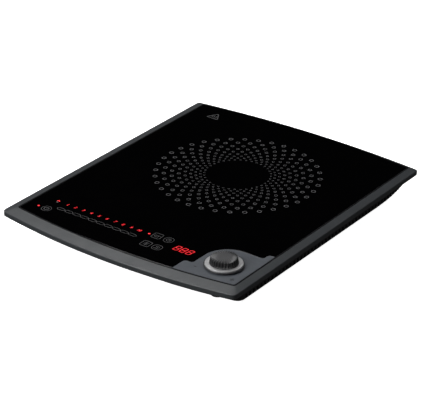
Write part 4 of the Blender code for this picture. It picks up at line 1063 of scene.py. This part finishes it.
class HOB_OT_zone_print(bpy.types.Operator):
    """Cooking zone of printed rings, and the hot-surface sign behind it."""

    bl_idname = "hob.zone_print"
    bl_label = "Zone print"

    def execute(self, context):
        sizes = context.scene.hob_sizes
        low = TOP - INK / 4
        ink = finish("print_ink")
        dot = tube(circle(1.0, 12), circle(DOT_HOLE, 12), low, low + INK)
        dots = make_object("zone_dots", dot, ink)
        run_tree(dots, dots_tree(), {
            "Rings": sizes.dot_rings, "Dots": sizes.dots_per_ring, "Centre": (ZONE.x, ZONE.y, 0.0),
            "Radius": sizes.zone_radius, "Ratio": sizes.ring_ratio, "Dot Size": sizes.dot_share,
            "Material": ink,
        })
        seat(dots, "casing", "black_glass")
        sign = bmesh.new()
        hot_sign(sign, on_glass(*HOT_SIGN), 0.0083)
        seat(make_object("hot_sign", sign, ink), "casing", "black_glass")
        return {"FINISHED"}


class HOB_OT_key_print(bpy.types.Operator):
    """Touch slider, keys, their lamps and the red figures."""

    bl_idname = "hob.key_print"
    bl_label = "Key print"

    def execute(self, context):
        ink = finish("print_ink")
        bm = bmesh.new()
        corners = [
            (-SLIDER_PITCH / 2, 0.0, 0.0006), (-SLIDER_FLAT, -SLIDER_HALF, 0.0014),
            (SLIDER_FLAT, -SLIDER_HALF, 0.0014), (SLIDER_PITCH / 2, 0.0, 0.0006),
            (SLIDER_FLAT, SLIDER_HALF, 0.0014), (-SLIDER_FLAT, SLIDER_HALF, 0.0014),
        ]
        draw_line(bm, rounded(corners, 4), FINE_LINE, on_glass(*SLIDER_START), closed=True)
        slider = make_object("touch_slider", bm, ink)
        run_tree(slider, row_tree(), {"Count": 10, "Step": (SLIDER_PITCH, 0.0, 0.0), "Material": ink})
        seat(slider, "casing", "black_glass")

        keys = bmesh.new()
        draw_key(keys, on_glass(-0.1217, 0.0289), power_lines(), POWER_RADIUS)
        draw_key(keys, on_glass(0.0180, 0.0518), pan_lines())
        draw_key(keys, on_glass(0.0337, 0.0517), clock_lines())
        draw_key(keys, on_glass(0.0188, 0.0303), step_lines())
        draw_key(keys, on_glass(0.0337, 0.0306), steam_lines())
        draw_patch(keys, frame_square(), on_glass(-0.1222, 0.0485), 0.0012)
        seat(make_object("key_marks", keys, ink), "casing", "black_glass")

        glow = lamp_red("lamp_glow", 0.9)
        lamps = bmesh.new()
        for spot in (on_glass(-0.1334, 0.0290), on_glass(0.0075, 0.0508)):
            draw_patch(lamps, circle(0.0013, 16), spot)
        draw_line(lamps, arc(0.0015, 0, 180, 10), 0.0009, on_glass(-0.1226, 0.0506))
        seat(make_object("lamps", lamps, glow), "casing", "red_lens")
        figures = lamp_red("figure_glow", 0.50)
        for number in range(1, 11):
            spot = on_glass(FIGURE_START + FIGURE_PITCH * (number - 1), 0.0502)
            seat(figure(str(number), spot, FIGURE_SIZE, figures), "casing", "red_lens")
        return {"FINISHED"}


class HOB_OT_display(bpy.types.Operator):
    """Three lit figures of the red display."""

    bl_idname = "hob.display"
    bl_label = "Display"

    def execute(self, context):
        glow = lamp_red("display_glow", 0.42)
        bm = bmesh.new()
        first = on_glass(DISPLAY_MIDDLE[0] - DISPLAY_PITCH, DISPLAY_MIDDLE[1])
        seven_segments(bm, first, *DISPLAY_FIGURE)
        figures = make_object("display_figures", bm, glow)
        run_tree(figures, row_tree(), {"Count": 3, "Step": (DISPLAY_PITCH, 0.0, 0.0), "Material": glow})
        seat(figures, "casing", "red_lens")
        return {"FINISHED"}


class HOB_OT_frame(bpy.types.Operator):
    """Sloping anthracite frame with its lip, shelf and screw ears."""

    bl_idname = "hob.frame"
    bl_label = "Frame"

    def execute(self, context):
        sizes = context.scene.hob_sizes
        side, front, back = strips()
        r = sizes.edge_round
        shelf_low = FRAME_LOW.z
        shelf_high = GASKET_LOW.z - CLEARANCE
        inner = inner_corners()
        shelf = plate_plan(side + SHELF, front + SHELF, SHELF_BACK, sizes.front_bow, 0.0, inner)
        groove = plate_plan(side, front, back, sizes.inner_bow, sizes.back_bow, inner)

        def outside(inset):
            corners = (sizes.front_corner, sizes.back_corner)
            return plate_plan(inset, inset, inset, sizes.front_bow, sizes.back_bow, corners)

        shoulder = TOP - sizes.strip_drop
        lip = 0.0003
        levels = [(groove, TOP - CLEARANCE - lip)]
        rim = plate_plan(side - lip, front - lip, back - lip, sizes.inner_bow, sizes.back_bow, inner)
        levels.append((rim, TOP - CLEARANCE))
        for step in range(5):
            turn = math.radians(15 + 75 * step / 4)
            levels.append((outside(r * (1 - math.sin(turn))), shoulder - r * (1 - math.cos(turn))))
        for step in range(4):
            turn = math.radians(30 * step)
            inset = r / 2 * (1 - math.cos(turn))
            levels.append((outside(inset), shelf_low + r / 2 * (1 - math.sin(turn))))
        levels += [(shelf, shelf_low), (shelf, shelf_high), (groove, shelf_high)]
        surround = make_object("surround", loft(levels, closed=True), finish("frame_plastic"))
        ears = bmesh.new()
        holes = bmesh.new()
        for name in CASE_SCREWS:
            x, y = axis_of(name)
            ends = sorted((x - math.copysign(EAR_HALF, x), math.copysign(HALF - side - SHELF / 2, x)))
            low = (ends[0], y - EAR_WIDTH / 2, shelf_low + EAR_INSET)
            add_box(ears, low, (ends[1], y + EAR_WIDTH / 2, shelf_high - EAR_INSET))
            add_cylinder(holes, (x, y), EAR_HOLE, shelf_low - OVERCUT, shelf_high + OVERCUT, 16)
        combine(surround, ears, "UNION")
        combine(surround, holes, "DIFFERENCE")
        seat(surround, "casing", "frame_plastic", "top_frame", smooth=24.0)
        return {"FINISHED"}


class HOB_OT_tub(bpy.types.Operator):
    """Black vented lower shell and the cord inlet bush."""

    bl_idname = "hob.tub"
    bl_label = "Tub"

    def execute(self, context):
        refined("base_tub", finish("tub_plastic"), "tub_plastic", edge=0.0)
        refined("cord_inlet", finish("black_rubber"), "black_rubber")
        refined("cord_clamp", finish("white_plastic"), "white_plastic")
        return {"FINISHED"}


class HOB_OT_feet(bpy.types.Operator):
    """Rubber feet, one shape at four places."""

    bl_idname = "hob.feet"
    bl_label = "Feet"

    def execute(self, context):
        low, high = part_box(FEET[0])
        radius = (high.x - low.x) / 2
        sole = TUB_FLOOR - CLEARANCE
        profile = [
            (radius * 0.40, 0.0004), (radius * 0.46, 0.0), (radius - 0.0008, 0.0), (radius - 0.0002, 0.0003),
            (radius, 0.0009), (radius, sole - 0.0006), (radius - 0.0002, sole - 0.0002),
            (radius - 0.0006, sole), (0.0022, sole), (0.0022, TUB_FLOOR + 0.0028),
            (0.0034, TUB_FLOOR + 0.0028), (0.0013, high.z),
        ]
        material = finish("black_rubber")
        foot = make_object("foot", turned(profile, 40), material)
        place_copies("rubber_feet", foot, FEET, material, "black_rubber")
        return {"FINISHED"}


def place_copies(name, shape, nodes, material, slot):
    """Copy a shape to the axis of each of some CAD nodes, and let it stand for them."""
    bm = bmesh.new()
    for item in nodes:
        bm.verts.new((*axis_of(item), 0.0))
    made = make_object(name, bm, material)
    run_tree(made, places_tree(), {"Shape": shape, "Material": material})
    bpy.data.objects.remove(shape)
    seat(made, "casing", slot, *nodes)


class HOB_OT_screws(bpy.types.Operator):
    """Cross-head screws of the case and of the inner pieces."""

    bl_idname = "hob.screws"
    bl_label = "Screws"

    def execute(self, context):
        steel = finish("zinc_steel")
        groups = [("case_screws", CASE_SCREWS, True)]
        for name, count, upward in (
            ("carrier_screw", 3, False), ("bracket_screw", 2, False),
            ("clamp_screw", 2, False), ("encoder_screw", 2, True),
        ):
            groups.append((name + "s", [f"{name}_{number}" for number in range(1, count + 1)], upward))
        for name, nodes, upward in groups:
            shape = self.screw(nodes[0], upward, steel)
            place_copies(name, shape, nodes, steel, "zinc_steel")
        return {"FINISHED"}

    def screw(self, node_name, upward, steel):
        """Pan head with a cross recess, and a threaded shank, as long as its CAD node."""
        low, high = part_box(node_name)
        head = (high.x - low.x) / 2
        shank = head * 0.48
        tall = head * 0.65
        length = high.z - low.z
        profile = [
            (head * 0.55, 0.0), (head * 0.85, tall * 0.2), (head, tall * 0.6), (head, tall), (shank, tall),
        ]
        thread = int((length - tall) / (shank * 0.7))
        pitch = (length - tall - shank) / thread
        for turn in range(thread):
            start = tall + pitch * turn
            profile += [(shank * 0.78, start + pitch * 0.35), (shank, start + pitch * 0.85)]
        profile.append((shank * 0.3, length))
        sign = 1 if upward else -1
        base = low.z if upward else high.z
        shape = make_object("screw", turned([(r, base + sign * z) for r, z in profile], 20), steel)
        deep = tall * 0.6
        for across, along in ((head * 0.62, head * 0.13), (head * 0.13, head * 0.62)):
            ends = sorted((base - sign * 0.0005, base + sign * deep))
            recess = bmesh.new()
            add_box(recess, (-across, -along, ends[0]), (across, along, ends[1]))
            combine(shape, recess, "DIFFERENCE")
        return shape


class HOB_OT_panel(bpy.types.Operator):
    """Corner panel with two printed marks."""

    bl_idname = "hob.panel"
    bl_label = "Corner panel"

    def execute(self, context):
        low, high = GLASS_LOW.z - OVERCUT, TOP + OVERCUT
        plate = slab(glass_plan(SEAL_LAP), GLASS_LOW.z, TOP)
        panel = make_object("corner_panel", plate, finish("panel_plastic"))
        combine(panel, slab(panel_plan(), low, high), "INTERSECT")
        combine(panel, slab(circle(PANEL_BORE, 48, (DIAL.x, DIAL.y)), low, high), "DIFFERENCE")
        soften(panel, PLATE_EDGE, 3, 50.0)
        posts = bmesh.new()
        holes = bmesh.new()
        for name in ("encoder_screw_1", "encoder_screw_2"):
            spot = axis_of(name)
            add_cylinder(posts, spot, POST_RADIUS, PANEL_LOW.z, GLASS_LOW.z + OVERCUT)
            add_cylinder(holes, spot, POST_HOLE, PANEL_LOW.z - OVERCUT, PANEL_LOW.z + POST_HOLE_DEPTH, 16)
        combine(panel, posts, "UNION")
        combine(panel, holes, "DIFFERENCE")
        seat(panel, "casing", "panel_plastic", "knob_panel")
        marks = bmesh.new()
        less = (DIAL.x - MARK_SPAN, DIAL.y - MARK_DROP)
        more = (DIAL.x + MARK_SPAN, DIAL.y - MARK_DROP)
        draw_line(marks, [(-1, 0), (1, 0)], MINUS[0], less, MINUS[1])
        draw_line(marks, [(-1, 0), (1, 0)], PLUS[0], more, PLUS[1])
        draw_line(marks, [(0, -1), (0, 1)], PLUS[0], more, PLUS[1], low=TOP)
        seat(make_object("dial_marks", marks, finish("dark_print")), "casing", "panel_plastic")
        return {"FINISHED"}


class HOB_OT_dial(bpy.types.Operator):
    """Fluted knob, bright ring under it and the shaft."""

    bl_idname = "hob.dial"
    bl_label = "Dial"

    def execute(self, context):
        self.knob(context.scene.hob_sizes)
        self.ring()
        refined("encoder_shaft", finish("satin_metal"), "satin_metal", "dial")
        return {"FINISHED"}

    def knob(self, sizes):
        """One flute as a wedge, repeated round the axis; hub and neck under it."""
        foot = SKIRT_HIGH.z + CLEARANCE
        rise = KNOB_HIGH.z - foot
        radius = (KNOB_HIGH.x - KNOB_LOW.x) / 2
        low = SKIRT_LOW.z
        # share of the outer radius, share of the rise, depth and drop of the flutes
        side = [
            (0.990, 0.00, 0.0, 0.0), (1.000, 0.02, 0.0, 0.0), (1.000, 0.06, 0.0, 0.0),
            (0.965, 0.09, 0.2, 0.0), (0.958, 0.16, 1.0, 0.0), (0.950, 0.40, 1.0, 0.0),
            (0.940, 0.65, 1.0, 0.1), (0.930, 0.80, 1.0, 0.3), (0.912, 0.90, 1.0, 0.7),
            (0.885, 0.96, 0.8, 1.0), (0.845, 0.99, 0.5, 1.0), (0.780, 1.00, 0.2, 0.8),
            (0.690, 1.00, 0.1, 0.55), (0.580, 0.99, 0.0, 0.30), (0.480, 0.985, 0.0, 0.0),
            (0.20, 0.98, 0.0, 0.0),
        ]
        hub = 0.0060
        neck = 0.0140
        socket = 0.0033
        inside = [
            (socket, SHAFT_HIGH.z + CLEARANCE), (socket, KNOB_LOW.z), (hub, KNOB_LOW.z),
            (hub, low), (neck, low), (neck, foot),
        ]
        levels = [(reach, height, 0.0, 0.0) for reach, height in inside]
        for share, up, depth, drop in side:
            cut = sizes.flute_depth
            levels.append((radius * share, foot + rise * up, cut * depth, cut * drop))
        count = sizes.flutes
        steps = 8
        bm = bmesh.new()
        rings = []
        for reach, z, depth, drop in levels:
            ring = []
            for step in range(steps + 1):
                share = step / steps
                turn = 2 * math.pi * (share - 0.5) / count
                valley = math.cos(math.pi * share) ** 2
                r = reach - depth * valley
                ring.append(bm.verts.new((r * math.cos(turn), r * math.sin(turn), z - drop * valley)))
            rings.append(ring)
        for start, end in zip(rings, rings[1:]):
            for step in range(steps):
                bm.faces.new((start[step], start[step + 1], end[step + 1], end[step]))
        for ring, height in ((rings[0], levels[0][1]), (rings[-1], levels[-1][1])):
            middle = bm.verts.new((0.0, 0.0, height))
            for step in range(steps):
                bm.faces.new((ring[step], ring[step + 1], middle))
        material = knob_plastic()
        knob = make_object("dial_knob_skin", bm, material)
        run_tree(knob, round_tree(), {
            "Count": count, "Centre": (DIAL.x, DIAL.y, 0.0), "Weld": 0.00001, "Material": material,
        })
        fixed = bmesh.new()
        fixed.from_mesh(knob.data)
        bmesh.ops.recalc_face_normals(fixed, faces=fixed.faces)
        fixed.to_mesh(knob.data)
        fixed.free()
        seat(knob, "dial", "knob_plastic", "dial_knob")

    def ring(self):
        """Bright turned ring on a dark foot that stands out a little under it; the dark foot is painted
        shadow, a black band for the shade under the ring.
        """
        foot = (SKIRT_HIGH.x - SKIRT_LOW.x) / 2
        outer = foot - 0.0014
        hole = 0.0143
        low, high = SKIRT_LOW.z, SKIRT_HIGH.z
        step = low + 0.0007
        profile = [
            (hole, step), (outer - 0.0002, step), (outer, step + 0.0002), (outer, high - 0.0005),
            (outer - 0.0002, high - 0.0001), (outer - 0.0005, high), (hole, high),
        ]
        centre = (DIAL.x, DIAL.y)
        shape = turned(profile, 128, closed=True, centre=centre)
        ring = make_object("dial_ring", shape, finish("satin_metal"))
        seat(ring, "dial", "satin_metal", "knob_skirt")
        # Painted shadow: the black foot stands for the shade line under the bright ring.
        top = step - 0.00005
        profile = [
            (hole, low), (foot - 0.0003, low), (foot, low + 0.0003), (foot - 0.0001, top - 0.0001),
            (foot - 0.0003, top), (hole, top),
        ]
        shape = turned(profile, 96, closed=True, centre=centre)
        base = make_object("dial_ring_foot", shape, finish("moulded_black"))
        seat(base, "dial", "knob_plastic")


class HOB_OT_coil(bpy.types.Operator):
    """Wound coil with its carrier, ferrite bars, mica sheet and sensor."""

    bl_idname = "hob.coil"
    bl_label = "Coil"

    def execute(self, context):
        sizes = context.scene.hob_sizes
        outer = COIL_HIGH.x - ZONE.x
        wire = (COIL_HIGH.z - COIL_LOW.z) / 4
        copper = finish("copper_wire")
        coil = make_object("coil_winding", bmesh.new(), copper)
        run_tree(coil, winding_tree(), {
            "Turns": float(sizes.coil_turns), "Inner Radius": COIL_INNER + wire, "Outer Radius": outer - wire,
            "Wire Radius": wire * 0.98, "Centre": (ZONE.x, ZONE.y, ZONE.z), "Material": copper,
        })
        seat(coil, "casing", "copper", "induction_coil")
        refined("coil_carrier", finish("white_plastic"), "white_plastic")
        refined("mica_sheet", finish("mica_sheet"), "mica", edge=0.0)
        refined("sensor_holder", finish("white_plastic"), "white_plastic")
        bars = finish("ferrite")
        for number in range(1, 7):
            refined(f"ferrite_bar_{number}", bars, "ferrite")
        return {"FINISHED"}


class HOB_OT_fan(bpy.types.Operator):
    """Cooling fan: housing on the casing, rotor and shaft on their own body."""

    bl_idname = "hob.fan"
    bl_label = "Fan"

    def execute(self, context):
        black = finish("moulded_black")
        refined("fan_housing", black, "moulded_black")
        refined("fan_rotor", black, "moulded_black", "fan", edge=0.0)
        refined("fan_shaft", finish("satin_metal"), "satin_metal", "fan", edge=0.0)
        return {"FINISHED"}


class HOB_OT_boards(bpy.types.Operator):
    """Control board, display parts, power board and its components, and the encoder."""

    bl_idname = "hob.boards"
    bl_label = "Boards"

    def execute(self, context):
        green, black, white = finish("circuit_board"), finish("moulded_black"), finish("white_plastic")
        film, red, steel = finish("yellow_film"), finish("red_lens"), finish("zinc_steel")
        for name, material, slot in (
            ("control_board", green, "circuit_board"), ("display_bracket", black, "moulded_black"),
            ("display_module", red, "red_lens"), ("digit_light_guide", red, "red_lens"),
            ("touch_film", film, "film_yellow"), ("power_board", green, "circuit_board"),
            ("power_transistor", black, "moulded_black"), ("bridge_rectifier", black, "moulded_black"),
            ("resonant_capacitor", film, "film_yellow"), ("smoothing_capacitor", film, "film_yellow"),
            ("standby_transformer", film, "film_yellow"), ("terminal_block", white, "white_plastic"),
            ("mains_fuse", white, "white_plastic"), ("choke_ring", finish("copper_wire"), "copper"),
            ("encoder_board", green, "circuit_board"), ("encoder_body", steel, "zinc_steel"),
            ("heat_sink", finish("aluminium"), "aluminium"),
        ):
            refined(name, material, slot, edge=0.0 if name == "touch_film" else 0.0002)
        return {"FINISHED"}


class HOB_PT_panel(bpy.types.Panel):
    """Steps and sizes of the hob."""

    bl_idname = "HOB_PT_panel"
    bl_label = "Induction hob"
    bl_space_type = "VIEW_3D"
    bl_region_type = "UI"
    bl_category = "Hob"

    def draw(self, context):
        layout = self.layout
        for step in STEPS:
            layout.operator(step.bl_idname)
        for group in (context.scene.hob_sizes, context.scene.hob_colours):
            box = layout.box()
            for key in group.__annotations__:
                box.prop(group, key)


STEPS = (
    HOB_OT_stage, HOB_OT_glass, HOB_OT_zone_print, HOB_OT_key_print, HOB_OT_display, HOB_OT_frame,
    HOB_OT_tub, HOB_OT_feet, HOB_OT_screws, HOB_OT_panel, HOB_OT_dial, HOB_OT_coil, HOB_OT_fan, HOB_OT_boards,
)
CLASSES = (HobSizes, HobColours, *STEPS, HOB_PT_panel)


def register():
    for item in CLASSES:
        bpy.utils.register_class(item)
    bpy.types.Scene.hob_sizes = PointerProperty(type=HobSizes)
    bpy.types.Scene.hob_colours = PointerProperty(type=HobColours)


def unregister():
    del bpy.types.Scene.hob_colours
    del bpy.types.Scene.hob_sizes
    for item in reversed(CLASSES):
        bpy.utils.unregister_class(item)


def main():
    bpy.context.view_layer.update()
    register()
    for step in STEPS:
        group, name = step.bl_idname.split(".")
        getattr(getattr(bpy.ops, group), name)()


if __name__ == "__main__":
    main()
